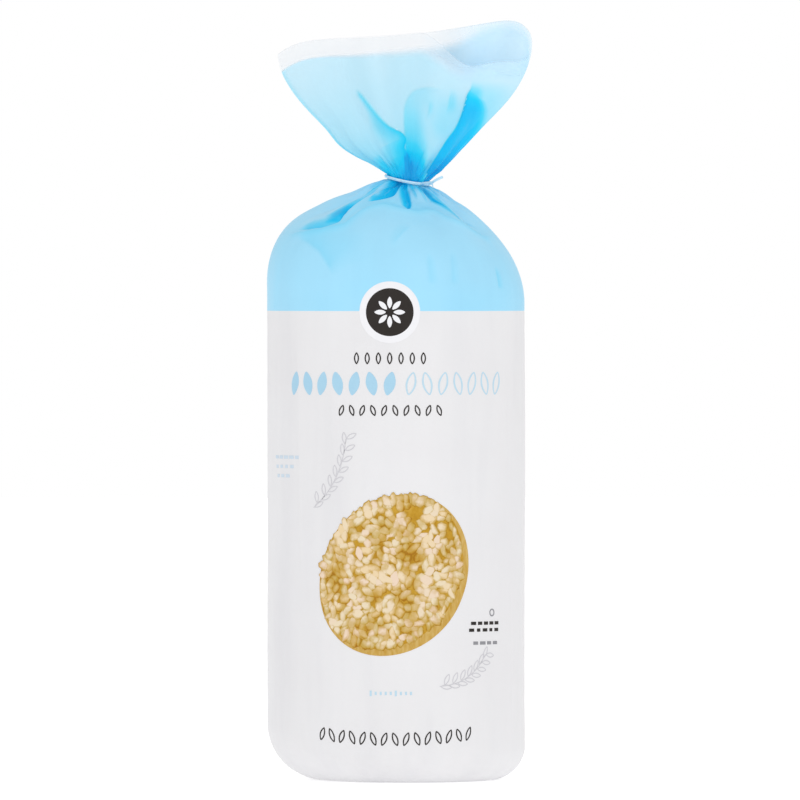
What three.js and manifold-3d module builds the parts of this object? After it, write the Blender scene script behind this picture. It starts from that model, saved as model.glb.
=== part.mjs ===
// A shut bag of puffed rice cakes, standing upright. Printed film wraps a round stack of
// cakes, is gathered into a neck by a twist tie, and fans out loose and open above the tie.
// Millimetres, +Z up, resting on z = 0. The printed front faces -Y.

import * as THREE from "three";
import { mergeVertices } from "three/addons/utils/BufferGeometryUtils.js";
import Module from "manifold-3d";

// Driving dimensions: the wrapped stack of cakes.
const BODY_RADIUS = 50; // 98 mm cakes under the film and its slack
const FOOT_ROUNDING = 17.4; // mean radius of the bag's bottom edge
const FOOT_ROUNDING_SKEW = 4.3; // rounder on the left than on the right by twice this
const SHOULDER_START = 188.8; // height where the film leaves the stack's wall
const SHOULDER_START_SKEW = 3.2;
const SHOULDER_FULLNESS = 1.87; // superellipse exponent: 2 is an ellipse, 1 a cone
const SHOULDER_FULLNESS_SKEW = 0.23;

// The gathered neck, where the tie sits in a short groove.
const NECK_RADIUS = 8.3;
const NECK_HEIGHT = 232;
const NECK_OFFSET = 4.6; // the tie sits to the right of the bag's axis
const NECK_TILT = 2.2; // the groove is this much lower at the front than at the sides
const GROOVE_HALF_HEIGHT = 1.1;

// The loose end above the tie: a flattened tube that opens upwards.
const RIM_CENTRE = 3.4;
const RIM_HALF_WIDTH = 49.3;
const RIM_HALF_DEPTH = 12.5;
const RIM_HEIGHT = 288.5;
const RIM_RISE = 4.8; // the rim climbs by this much from its centre to the right
const RIM_CURVE = 3.5; // and curls up by this much towards both ends
const RIM_CORNER_DROP = 8; // both ends of the rim are rounded down by this much
const RIM_CORNER_DROP_SKEW = 1.4;
const RIM_CORNER_POWER = 12;
const RIM_FRONT_DIP = 16; // on the right, the front lip is lower than the back lip
const FAN_FLARE = 1.64; // how soon the fan spreads above the tie
const FAN_FLARE_SKEW = 0.07; // the left edge spreads sooner than the right
const FAN_RIPPLE = 4.2;
const FAN_WALL = 1.1;
const FAN_FLOOR = 0.24; // share of the fan's height where its hollow starts
const HOLLOW_FLOOR_DROP = 2;

// The twist tie: a band round the neck and two ends twisted together.
const TIE_WIDTH = 1.4;
const TIE_THICKNESS = 0.6;
const TIE_GAP = 0.35; // clear of the film
const TAIL_ANGLE = THREE.MathUtils.degToRad(-55);
const TAIL_LENGTH = 6;
const TAIL_SLOPE = 0.16; // the tail points slightly upwards
const TAIL_TURNS = 2;
const STRAND_RADIUS = 0.5;
const WIND_SHARE = 0.85; // how far each strand's centre is from the twist's axis, in strand radii
const END_LENGTH = 4; // each free end past the twist
const END_SPREAD = 2.4;
const END_RISE = 0.5; // one end bends up by this much and the other down

// Mesh density.
const SIDES = 78;
const FOOT_RINGS = 5;
const WALL_RINGS = 4;
const SHOULDER_RINGS = 14;
const FAN_RINGS = 14;
const HOLLOW_RINGS = 10;

const TAU = Math.PI * 2;
const mix = (a, b, t) => a + (b - a) * t;
const smooth = (from, to, x) => THREE.MathUtils.smoothstep(x, from, to);
const signedPower = (x, power) => Math.sign(x) * Math.abs(x) ** power;
const TRIANGLE_SHARPNESS = 0.93;
const softTriangle = (x) => Math.asin(TRIANGLE_SHARPNESS * Math.sin(x)) / Math.asin(TRIANGLE_SHARPNESS);
const angleBetween = (a, b) => Math.abs(((((a - b) % TAU) + TAU + Math.PI) % TAU) - Math.PI);

// Single deep folds of the shoulder. angle is round the neck, 0 at +X and -90 at the front;
// reach is the share of the way from the neck to the wall that the fold runs.
const SHOULDER_FOLDS = [
  { angle: -150, depth: 3.2, width: 11, reach: 0.8 },
  { angle: -121, depth: 1.8, width: 9, reach: 0.42 },
  { angle: -88, depth: 2.4, width: 10, reach: 0.4 },
  { angle: -40, depth: 2.2, width: 7, reach: 0.72 },
  { angle: 8, depth: 1.8, width: 9, reach: 0.6 },
  { angle: 58, depth: 2.6, width: 11, reach: 0.75 },
  { angle: 104, depth: 2.0, width: 9, reach: 0.5 },
  { angle: 146, depth: 2.6, width: 10, reach: 0.7 },
];

// Pleats that spread from the tie: narrow beside it, wide and shallow further off.
// distance runs from 0 at the neck to 1 where they have died away.
const NARROW_PLEATS = 13;
const NARROW_PLEAT_DEPTH = 0.8;
const WIDE_PLEATS = 6;
const WIDE_PLEAT_DEPTH = 1.5;
const PLEAT_LEAN = 1.35; // pleats fold inwards and never stand out past the shoulder
const NECK_PLEAT_DEPTH = 0.35;
const pleatWander = (angle) => 0.55 * Math.sin(2 * angle + 0.7) + 0.4 * Math.sin(3 * angle + 2.1);
const narrowPleat = (angle) => softTriangle(NARROW_PLEATS * angle + 2 * pleatWander(angle));
const widePleat = (angle) => softTriangle(WIDE_PLEATS * angle + 1.4 + 1.5 * pleatWander(angle));

function pleats(angle, distance) {
  const narrow = NARROW_PLEAT_DEPTH * (narrowPleat(angle) - PLEAT_LEAN) * (1 - smooth(0.1, 0.42, distance));
  const wide = WIDE_PLEAT_DEPTH * (widePleat(angle) - PLEAT_LEAN) * smooth(0.08, 0.35, distance);
  return (narrow + wide) * (1 - smooth(0.45, 1, distance));
}

function shoulderFolds(angle, distance) {
  let depth = 0;
  for (const fold of SHOULDER_FOLDS) {
    const aside = THREE.MathUtils.radToDeg(angleBetween(angle, THREE.MathUtils.degToRad(fold.angle)));
    const along = smooth(0, 0.12, distance) * (1 - smooth(0.55 * fold.reach, fold.reach, distance));
    depth += fold.depth * Math.exp(-((aside / fold.width) ** 2)) * along;
  }
  return depth;
}

const grooveHeight = (angle) => NECK_HEIGHT + NECK_TILT * Math.sin(angle);
const footRounding = (angle) => FOOT_ROUNDING - FOOT_ROUNDING_SKEW * Math.cos(angle);
const shoulderStart = (angle) => SHOULDER_START - SHOULDER_START_SKEW * Math.cos(angle);

// The film's radius at the tie, with the tips of its pleats on the neck's radius.
function neckRadius(angle) {
  return NECK_RADIUS - NECK_PLEAT_DEPTH * (1 - narrowPleat(angle));
}

function neckPoint(angle, z) {
  const radius = neckRadius(angle);
  return [NECK_OFFSET + radius * Math.cos(angle), radius * Math.sin(angle), z];
}

function footPoint(angle, t) {
  const rounding = footRounding(angle);
  const turn = (t * Math.PI) / 2;
  const radius = BODY_RADIUS - rounding + rounding * Math.sin(turn);
  return [radius * Math.cos(angle), radius * Math.sin(angle), rounding * (1 - Math.cos(turn))];
}

function wallPoint(angle, t) {
  const z = mix(footRounding(angle), shoulderStart(angle), t);
  return [BODY_RADIUS * Math.cos(angle), BODY_RADIUS * Math.sin(angle), z];
}

// From the wall at t = 0 to the neck at t = 1, on a superellipse for each direction.
function shoulderPoint(angle, t) {
  const turn = (t * Math.PI) / 2;
  const power = 2 / (SHOULDER_FULLNESS - SHOULDER_FULLNESS_SKEW * Math.cos(angle));
  const out = Math.cos(turn) ** power;
  const up = Math.sin(turn) ** power;
  const [neckX, neckY] = neckPoint(angle, 0);
  const top = grooveHeight(angle) - GROOVE_HALF_HEIGHT;
  const inwards = pleats(angle, out) * smooth(0, 0.1, out) - shoulderFolds(angle, out);
  const x = mix(neckX, BODY_RADIUS * Math.cos(angle), out) + inwards * Math.cos(turn) * Math.cos(angle);
  const y = mix(neckY, BODY_RADIUS * Math.sin(angle), out) + inwards * Math.cos(turn) * Math.sin(angle);
  return [x, y, mix(shoulderStart(angle), top, up) + inwards * Math.sin(turn)];
}

// The rim comes down round the fan's right edge from the higher back lip to the front lip.
function rimHeight(angle) {
  const across = Math.cos(angle);
  const corner = (RIM_CORNER_DROP + RIM_CORNER_DROP_SKEW * across) * across ** RIM_CORNER_POWER;
  const frontDip = RIM_FRONT_DIP * smooth(0.1, 0.55, across) * smooth(-0.2, 0.55, -Math.sin(angle));
  return RIM_HEIGHT + RIM_RISE * across + RIM_CURVE * across ** 2 - corner - frontDip;
}

// Both sides of the flattened fan wave together, and its folded side edges stay straight.
function fanRipple(angle, spread) {
  const across = Math.cos(angle);
  const side = Math.sin(angle) < 0 ? 0 : 1.1;
  const wave = 0.62 * softTriangle(7.4 * across + 0.5 + side) + 0.45 * Math.sin(13 * across + 2.2 * side + 1.7);
  return FAN_RIPPLE * wave * spread * (1 - across ** 4);
}

// The fan from the tie at t = 0 to the rim at t = 1. inset moves the surface inwards.
function fanPoint(angle, t, inset = 0) {
  const spread = 1 - (1 - t) ** (FAN_FLARE - FAN_FLARE_SKEW * Math.cos(angle));
  const halfWidth = mix(neckRadius(angle), RIM_HALF_WIDTH, spread) - inset;
  const halfDepth = mix(neckRadius(angle), RIM_HALF_DEPTH, spread) - inset;
  const centre = mix(NECK_OFFSET, RIM_CENTRE, spread);
  const gather = 0.9 * pleats(angle, 0.9 * t) * smooth(0, 0.08, t) * (1 - t) ** 2;
  const y = (halfDepth + gather) * signedPower(Math.sin(angle), 1 + 0.35 * spread);
  const bottom = grooveHeight(angle) + GROOVE_HALF_HEIGHT;
  return [
    centre + (halfWidth + gather) * Math.cos(angle),
    y + fanRipple(angle, spread * smooth(0.1, 0.6, t)),
    mix(bottom, rimHeight(angle), t),
  ];
}

// A closed surface from rings of points: a centre point, rings in order, a centre point.
function closedRings(first, rings, last) {
  const positions = [...first, ...rings.flat(2), ...last];
  const lastIndex = 1 + rings.length * SIDES;
  const at = (ring, side) => 1 + ring * SIDES + (side % SIDES);
  const index = [];
  for (let side = 0; side < SIDES; side++) {
    index.push(0, at(0, side + 1), at(0, side));
    index.push(lastIndex, at(rings.length - 1, side), at(rings.length - 1, side + 1));
    for (let ring = 0; ring + 1 < rings.length; ring++) {
      const [a, b] = [at(ring, side), at(ring, side + 1)];
      const [c, d] = [at(ring + 1, side), at(ring + 1, side + 1)];
      index.push(a, b, d, a, d, c);
    }
  }
  const geometry = new THREE.BufferGeometry();
  geometry.setAttribute("position", new THREE.Float32BufferAttribute(positions, 3));
  geometry.setIndex(index);
  geometry.computeVertexNormals();
  return geometry;
}

const ring = (pointAt) => Array.from({ length: SIDES }, (_, side) => pointAt((side * TAU) / SIDES));

// Values from 0 to 1 in equal steps, without the ends that are left out.
function steps(count, { start = true, end = true } = {}) {
  const all = Array.from({ length: count + 1 }, (_, i) => i / count);
  return all.slice(start ? 0 : 1, end ? undefined : -1);
}

function bagGeometry() {
  const rings = [];
  const flatRadius = (angle) => footPoint(angle, 0);
  rings.push(ring((angle) => flatRadius(angle).map((v) => v * 0.5)));
  for (const t of steps(FOOT_RINGS)) rings.push(ring((angle) => footPoint(angle, t)));
  for (const t of steps(WALL_RINGS, { start: false })) rings.push(ring((angle) => wallPoint(angle, t)));
  for (const t of steps(SHOULDER_RINGS, { start: false })) rings.push(ring((angle) => shoulderPoint(angle, t)));
  rings.push(ring((angle) => neckPoint(angle, grooveHeight(angle) + GROOVE_HALF_HEIGHT)));
  for (const t of steps(FAN_RINGS, { start: false })) rings.push(ring((angle) => fanPoint(angle, t ** 1.25)));
  for (const t of steps(HOLLOW_RINGS))
    rings.push(ring((angle) => fanPoint(angle, mix(1, FAN_FLOOR, t), FAN_WALL)));
  const floorRing = rings.at(-1);
  const floor = [0, 1, 2].map((axis) => floorRing.reduce((sum, p) => sum + p[axis], 0) / SIDES);
  return closedRings([0, 0, 0], rings, [floor[0], floor[1], floor[2] - HOLLOW_FLOOR_DROP]);
}

const wasm = await Module();
wasm.setup();

function solidFrom(geometry) {
  const bare = geometry.index ? geometry.toNonIndexed() : geometry.clone();
  bare.deleteAttribute("normal");
  bare.deleteAttribute("uv");
  const merged = mergeVertices(bare, 1e-4);
  return new wasm.Manifold(
    new wasm.Mesh({
      numProp: 3,
      vertProperties: merged.attributes.position.array,
      triVerts: new Uint32Array(merged.index.array),
    }),
  );
}

function geometryFrom(solid) {
  const mesh = solid.getMesh();
  const geometry = new THREE.BufferGeometry();
  geometry.setAttribute("position", new THREE.Float32BufferAttribute(mesh.vertProperties, 3));
  geometry.setIndex(new THREE.BufferAttribute(mesh.triVerts, 1));
  geometry.computeVertexNormals();
  return geometry;
}

// The band: a flat ring, leaned forwards to lie in the groove.
function tieBand() {
  const inner = NECK_RADIUS + TIE_GAP;
  const outer = inner + TIE_THICKNESS;
  const corners = [
    [inner, -TIE_WIDTH / 2],
    [outer, -TIE_WIDTH / 2],
    [outer, TIE_WIDTH / 2],
    [inner, TIE_WIDTH / 2],
    [inner, -TIE_WIDTH / 2],
  ];
  const profile = corners.map(([radius, z]) => new THREE.Vector2(radius, z));
  const band = new THREE.LatheGeometry(profile, 60);
  band.rotateX(Math.PI / 2);
  band.rotateX(Math.atan2(NECK_TILT, inner));
  band.translate(NECK_OFFSET, 0, NECK_HEIGHT);
  return band;
}

// One of the two ends: it winds round the tail's axis, then bends away on its own.
function tieStrand(phase) {
  const bandRadius = NECK_RADIUS + TIE_GAP + TIE_THICKNESS / 2;
  const start = new THREE.Vector3(
    NECK_OFFSET + bandRadius * Math.cos(TAIL_ANGLE),
    bandRadius * Math.sin(TAIL_ANGLE),
    grooveHeight(TAIL_ANGLE),
  );
  const along = new THREE.Vector3(Math.cos(TAIL_ANGLE), Math.sin(TAIL_ANGLE), TAIL_SLOPE).normalize();
  const aside = new THREE.Vector3(-Math.sin(TAIL_ANGLE), Math.cos(TAIL_ANGLE), 0);
  const above = new THREE.Vector3().crossVectors(along, aside);
  const points = [];
  for (const t of steps(30)) {
    const turn = phase + t * TAIL_TURNS * TAU;
    const radius = STRAND_RADIUS * WIND_SHARE;
    points.push(
      start
        .clone()
        .addScaledVector(along, t * TAIL_LENGTH)
        .addScaledVector(aside, radius * Math.cos(turn))
        .addScaledVector(above, radius * Math.sin(turn)),
    );
  }
  const parting = phase > 0 ? 1 : -1;
  for (const t of steps(4, { start: false })) {
    points.push(
      start
        .clone()
        .addScaledVector(along, TAIL_LENGTH + t * END_LENGTH)
        .addScaledVector(aside, parting * (STRAND_RADIUS + END_SPREAD * t * t))
        .addScaledVector(above, END_RISE * parting * t),
    );
  }
  const section = new THREE.Shape(
    steps(6, { end: false }).map(
      (t) => new THREE.Vector2(STRAND_RADIUS * Math.cos(t * TAU), STRAND_RADIUS * Math.sin(t * TAU)),
    ),
  );
  return new THREE.ExtrudeGeometry(section, {
    steps: 44,
    bevelEnabled: false,
    extrudePath: new THREE.CatmullRomCurve3(points),
  });
}

function tieGeometry() {
  const band = solidFrom(tieBand());
  const strands = [0, Math.PI].map((phase) => solidFrom(tieStrand(phase)));
  const joined = strands.reduce((whole, strand) => whole.add(strand), band);
  // The small voids sealed between the strands come apart as bodies of negative volume.
  return geometryFrom(joined.decompose().find((body) => body.volume() > 0));
}

const film = new THREE.MeshStandardMaterial({ name: "film", color: 0xe6e7ea, roughness: 0.42, metalness: 0 });
const tie = new THREE.MeshStandardMaterial({ name: "tie", color: 0xdfe6f0, roughness: 0.5, metalness: 0 });

function namedMesh(name, geometry, material) {
  const mesh = new THREE.Mesh(geometry, material);
  mesh.name = name;
  return mesh;
}

const pack = new THREE.Group();
pack.add(namedMesh("bag", bagGeometry(), film));
pack.add(namedMesh("twist_tie", tieGeometry(), tie));

// The origin is under the middle of the whole bag's outline.
const bounds = new THREE.Box3().setFromObject(pack, true);
const middle = bounds.getCenter(new THREE.Vector3());
for (const mesh of pack.children) mesh.geometry.translate(-middle.x, -middle.y, -bounds.min.z);

export default pack;
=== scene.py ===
"""A shut bag of puffed rice cakes, tied at the neck: printed film, twist tie and print."""

import math
from collections import namedtuple

import bmesh
import bpy
import numpy as np
from mathutils import Matrix, Vector
from mathutils.bvhtree import BVHTree


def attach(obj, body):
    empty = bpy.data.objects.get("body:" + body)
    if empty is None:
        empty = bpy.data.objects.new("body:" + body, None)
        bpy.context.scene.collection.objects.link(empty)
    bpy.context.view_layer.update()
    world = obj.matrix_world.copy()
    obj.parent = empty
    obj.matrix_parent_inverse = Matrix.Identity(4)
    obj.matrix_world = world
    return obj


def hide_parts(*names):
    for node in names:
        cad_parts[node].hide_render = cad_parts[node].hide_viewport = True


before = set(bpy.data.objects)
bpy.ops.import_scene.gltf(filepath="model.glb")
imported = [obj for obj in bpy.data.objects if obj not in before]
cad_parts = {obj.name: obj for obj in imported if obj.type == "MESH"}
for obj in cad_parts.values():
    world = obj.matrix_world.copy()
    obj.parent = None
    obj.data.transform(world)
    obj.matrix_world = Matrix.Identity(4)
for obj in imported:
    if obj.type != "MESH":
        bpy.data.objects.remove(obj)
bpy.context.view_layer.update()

MM = 0.001
TAU = 2 * math.pi
AXIS_X = -1.35  # millimetres from the part's origin to the axis of the stack of cakes

# The film around the stack of cakes, in millimetres, as in the solid.
BODY_RADIUS = 50
FOOT_ROUNDING, FOOT_ROUNDING_SKEW = 17.4, 4.3
SHOULDER_START, SHOULDER_START_SKEW = 188.8, 3.2
SHOULDER_FULLNESS, SHOULDER_FULLNESS_SKEW = 1.87, 0.23
NECK_RADIUS, NECK_HEIGHT, NECK_OFFSET = 8.3, 232, 4.6
NECK_TILT, NECK_LEAN = 0.6, 1.5
GROOVE_HALF_HEIGHT = 1.1
RIM_CENTRE, RIM_HALF_WIDTH, RIM_HALF_DEPTH = 3.4, 49.3, 12.5
RIM_HEIGHT, RIM_RISE, RIM_CURVE = 288.5, 4.8, 3.5
RIM_CORNER_DROP, RIM_CORNER_DROP_SKEW, RIM_CORNER_POWER = 8, 1.4, 12
RIM_FRONT_DIP = 16
FAN_FLARE, FAN_FLARE_SKEW, FAN_RIPPLE = 1.64, 0.07, 4.2
NARROW_PLEATS, NARROW_PLEAT_DEPTH = 13, 0.8
WIDE_PLEATS, WIDE_PLEAT_DEPTH = 6, 1.5
PLEAT_LEAN, NECK_PLEAT_DEPTH = 1.35, 0.35
SHOULDER_SAG_LEFT, SHOULDER_SAG_RIGHT = 3.0, 1.1
FAN_FULLER_LEFT, FAN_SLIMMER_RIGHT = 3.6, 1.5
FILM_THICKNESS = 0.3
FAN_FLOOR = 0.16  # how far up its height the fan's hollow begins
FOOT_LIFT = 0.55  # the tucked end is this far off the floor inside its edge
CAKE_PITCH = 14.3

# Mesh density of the film.
COLUMNS = 480
ANGLES = math.pi / 2 + TAU * np.arange(COLUMNS) / COLUMNS
FOOT_RINGS, WALL_RINGS, SHOULDER_RINGS, FAN_RINGS, HOLLOW_RINGS = 14, 62, 118, 150, 34
WRAP_SEED, FAN_SEED = 11, 23  # for the small folds laid at random


def mix(a, b, t):
    return a + (b - a) * t


def smooth(start, end, x):
    t = np.clip((x - start) / (end - start), 0, 1)
    return t * t * (3 - 2 * t)


def hump(x, middle, width):
    return np.exp(-(((x - middle) / width) ** 2))


def signed_power(x, power):
    return np.sign(x) * np.abs(x) ** power


def soft_triangle(x, sharpness=0.93):
    return np.arcsin(sharpness * np.sin(x)) / math.asin(sharpness)


def new_object(name, data):
    made = bpy.data.objects.new(name, data)
    bpy.context.scene.collection.objects.link(made)
    return made


def new_mesh(name, verts, edges, faces):
    mesh = bpy.data.meshes.new(name)
    mesh.from_pydata(verts, edges, faces)
    return mesh


def keep_values(mesh, name, values):
    """Keeps a value for each vertex, for the materials to read."""
    kept = mesh.attributes.new(name, "FLOAT", "POINT")
    kept.data.foreach_set("value", values.astype(np.float32))


# ---------------------------------------------------------------- the film's main shape


def pleat_wander(angle):
    return 0.55 * np.sin(2 * angle + 0.7) + 0.4 * np.sin(3 * angle + 2.1)


def narrow_pleat(angle):
    return soft_triangle(NARROW_PLEATS * angle + 2 * pleat_wander(angle))


def pleats(angle, distance):
    """Pleats that spread from the tie: distance is 0 at the neck and 1 where they end."""
    wide = soft_triangle(WIDE_PLEATS * angle + 1.4 + 1.5 * pleat_wander(angle)) - PLEAT_LEAN
    narrow = (narrow_pleat(angle) - PLEAT_LEAN) * (1 - smooth(0.1, 0.42, distance))
    spread = WIDE_PLEAT_DEPTH * wide * smooth(0.08, 0.35, distance)
    return (NARROW_PLEAT_DEPTH * narrow + spread) * (1 - smooth(0.45, 1, distance))


def groove_height(angle):
    return NECK_HEIGHT + NECK_TILT * np.sin(angle) - NECK_LEAN * np.cos(angle)


def neck_radius(angle):
    """Many fine pleats, pressed together under the tie."""
    fine = soft_triangle(34 * angle + 3 * np.sin(3 * angle) + 1.1)
    return NECK_RADIUS - NECK_PLEAT_DEPTH * (1.5 - narrow_pleat(angle) - 0.5 * fine)


def neck_outline():
    radius = neck_radius(ANGLES)
    return NECK_OFFSET + radius * np.cos(ANGLES), radius * np.sin(ANGLES)


def foot_point(angle, t):
    rounding = FOOT_ROUNDING - FOOT_ROUNDING_SKEW * np.cos(angle)
    turn = t * math.pi / 2
    radius = BODY_RADIUS - rounding + rounding * math.sin(turn)
    return radius * np.cos(angle), radius * np.sin(angle), rounding * (1 - math.cos(turn))


def wall_point(angle, t):
    foot = FOOT_ROUNDING - FOOT_ROUNDING_SKEW * np.cos(angle)
    top = SHOULDER_START - SHOULDER_START_SKEW * np.cos(angle)
    return BODY_RADIUS * np.cos(angle), BODY_RADIUS * np.sin(angle), mix(foot, top, t)


def shoulder_point(angle, t):
    turn = t * math.pi / 2
    power = 2 / (SHOULDER_FULLNESS - SHOULDER_FULLNESS_SKEW * np.cos(angle))
    out, up = max(math.cos(turn), 0) ** power, math.sin(turn) ** power
    neck = neck_radius(angle)
    inwards = pleats(angle, out) * smooth(0, 0.1, out)
    x = mix(NECK_OFFSET + neck * np.cos(angle), BODY_RADIUS * np.cos(angle), out)
    y = mix(neck * np.sin(angle), BODY_RADIUS * np.sin(angle), out)
    bottom = SHOULDER_START - SHOULDER_START_SKEW * np.cos(angle)
    z = mix(bottom, groove_height(angle) - GROOVE_HALF_HEIGHT, up)
    level = inwards * math.cos(turn)
    across = np.cos(angle)
    sag = SHOULDER_SAG_LEFT * smooth(0.1, 0.85, -across)
    sag = sag + SHOULDER_SAG_RIGHT * smooth(0.1, 0.85, across)
    z = z - sag * smooth(0, 0.42, out) * (1 - smooth(0.55, 1, out))
    return x + level * across, y + level * np.sin(angle), z + inwards * math.sin(turn)


def rim_height(angle):
    across = np.cos(angle)
    power = RIM_CORNER_POWER - 5 * smooth(0, 0.8, -across)
    corner = (RIM_CORNER_DROP + RIM_CORNER_DROP_SKEW * across) * np.abs(across) ** power
    front_dip = RIM_FRONT_DIP * smooth(0.1, 0.55, across) * smooth(-0.2, 0.55, -np.sin(angle))
    return RIM_HEIGHT + RIM_RISE * across + RIM_CURVE * across**2 - corner - front_dip


def fan_ripple(angle, spread):
    across = np.cos(angle)
    side = np.where(np.sin(angle) < 0, 0, 1.1)
    wave = 0.62 * soft_triangle(7.4 * across + 0.5 + side)
    wave = wave + 0.45 * np.sin(13 * across + 2.2 * side + 1.7)
    return FAN_RIPPLE * wave * spread * (1 - across**4)


def fan_point(angle, t, inset=0):
    spread = 1 - (1 - t) ** (FAN_FLARE - FAN_FLARE_SKEW * np.cos(angle))
    fuller = FAN_FULLER_LEFT * hump(t, 0.21, 0.13) * smooth(0, 0.9, -np.cos(angle))
    slimmer = FAN_SLIMMER_RIGHT * hump(t, 0.42, 0.18) * smooth(0, 0.9, np.cos(angle))
    half_width = mix(neck_radius(angle), RIM_HALF_WIDTH, spread) - inset + fuller - slimmer
    half_depth = mix(neck_radius(angle), RIM_HALF_DEPTH, spread) - inset
    centre = mix(NECK_OFFSET, RIM_CENTRE, spread)
    gather = 0.9 * pleats(angle, 0.9 * t) * smooth(0, 0.08, t) * (1 - t) ** 2
    y = (half_depth + gather) * signed_power(np.sin(angle), 1 + 0.35 * spread)
    z = mix(groove_height(angle) + GROOVE_HALF_HEIGHT, rim_height(angle), t)
    x = centre + (half_width + gather) * np.cos(angle)
    return x, y + fan_ripple(angle, spread * smooth(0.1, 0.6, t)), z


# ---------------------------------------------------------------- folds in the film


def curved_line(points, steps=8):
    """A smooth line through the points."""
    points = np.asarray(points, float)
    padded = np.vstack([2 * points[0] - points[1], points, 2 * points[-1] - points[-2]])
    line = [points[0]]
    for a, b, c, d in zip(padded, padded[1:], padded[2:], padded[3:]):
        for t in np.linspace(0, 1, steps + 1)[1:]:
            bend = (2 * a - 5 * b + 4 * c - d) * t**2 + (3 * b - a - 3 * c + d) * t**3
            line.append(b + 0.5 * ((c - a) * t + bend))
    return np.array(line)


def beside(points, line, reach):
    """For points within reach of the line: which they are, how far to its left, how far along."""
    low, high = line.min(0) - reach, line.max(0) + reach
    near = np.flatnonzero(((points > low) & (points < high)).all(1))
    found = points[near]
    nearest = np.full(len(near), np.inf)
    aside, along = np.zeros(len(near)), np.zeros(len(near))
    lengths = np.hypot(*(line[1:] - line[:-1]).T)
    passed = np.concatenate([[0], np.cumsum(lengths)])
    for i, (start, end) in enumerate(zip(line, line[1:])):
        span = end - start
        offset = found - start
        t = np.clip(offset @ span / lengths[i] ** 2, 0, 1)
        apart = offset - t[:, None] * span
        distance = np.hypot(apart[:, 0], apart[:, 1])
        left = np.sign(span[0] * offset[:, 1] - span[1] * offset[:, 0])
        closer = distance < nearest
        nearest[closer] = distance[closer]
        aside[closer] = (distance * np.where(left == 0, 1, left))[closer]
        along[closer] = ((passed[i] + t * lengths[i]) / passed[-1])[closer]
    return near, aside, along


# One fold. The film climbs by height over width on the line's left and drops over steep on its
# right. The doubled film, cover wide, deepens the blue by layers, and lies on the left too; edge
# is the share of it pressed against the line. The same layers also paint shade into the crease,
# at the line and over the steep drop. ends are the shares of the line over which the fold starts
# and dies away, and swell and taper its layers and cover along the line.
Fold = namedtuple(
    "Fold", "line height width layers cover steep ends edge swell taper",
    defaults=(0.0, 2.0, 0.4, (0.0, 0.35), 0.6, (1, 1), (0.6, 0.9, 1, 1, 1)),
)


def along_line(along, values):
    return np.interp(along, np.linspace(0, 1, len(values)), values)


class Folds:
    """Adds folds to a flat map of the film: relief stands out of it, and layers deepen its blue and
    paint shade into its creases.
    """

    def __init__(self, places):
        self.places = places
        self.relief = np.zeros(len(places))
        self.layers = np.zeros(len(places))

    def add(self, fold):
        reach = 1.2 * max(fold.width, fold.cover)
        near, aside, along = beside(self.places, curved_line(fold.line), reach)
        held = np.ones(len(along))
        start, end = fold.ends
        if start:
            held *= smooth(0, start, along)
        if end:
            held *= 1 - smooth(1 - end, 1, along)
        ramp = np.clip(1 - aside / (fold.width * (0.4 + 0.6 * along)), 0, 1) ** 1.6
        drop = np.exp(-((aside / fold.steep) ** 2))
        self.relief[near] += fold.height * held * np.where(aside > 0, ramp, drop)
        share = aside / (fold.cover * along_line(along, fold.taper))
        doubled = fold.edge * np.exp(-4 * share) + (1 - fold.edge) * (1 - smooth(0.35, 1, share))
        strength = fold.layers * held * along_line(along, fold.swell)
        # Left of the line the doubled film deepens the blue; at the line and over the steep drop on its
        # right the layers are painted shade.
        self.layers[near] += strength * np.where(aside > 0, doubled, drop)

    def settled(self, most):
        """The relief, with folds that crowd together pressed flat to at most this height."""
        return most * np.tanh(self.relief / most)


def polar_point(angle, radius):
    turn = math.radians(angle)
    return radius * math.cos(turn), radius * math.sin(turn)


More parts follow.
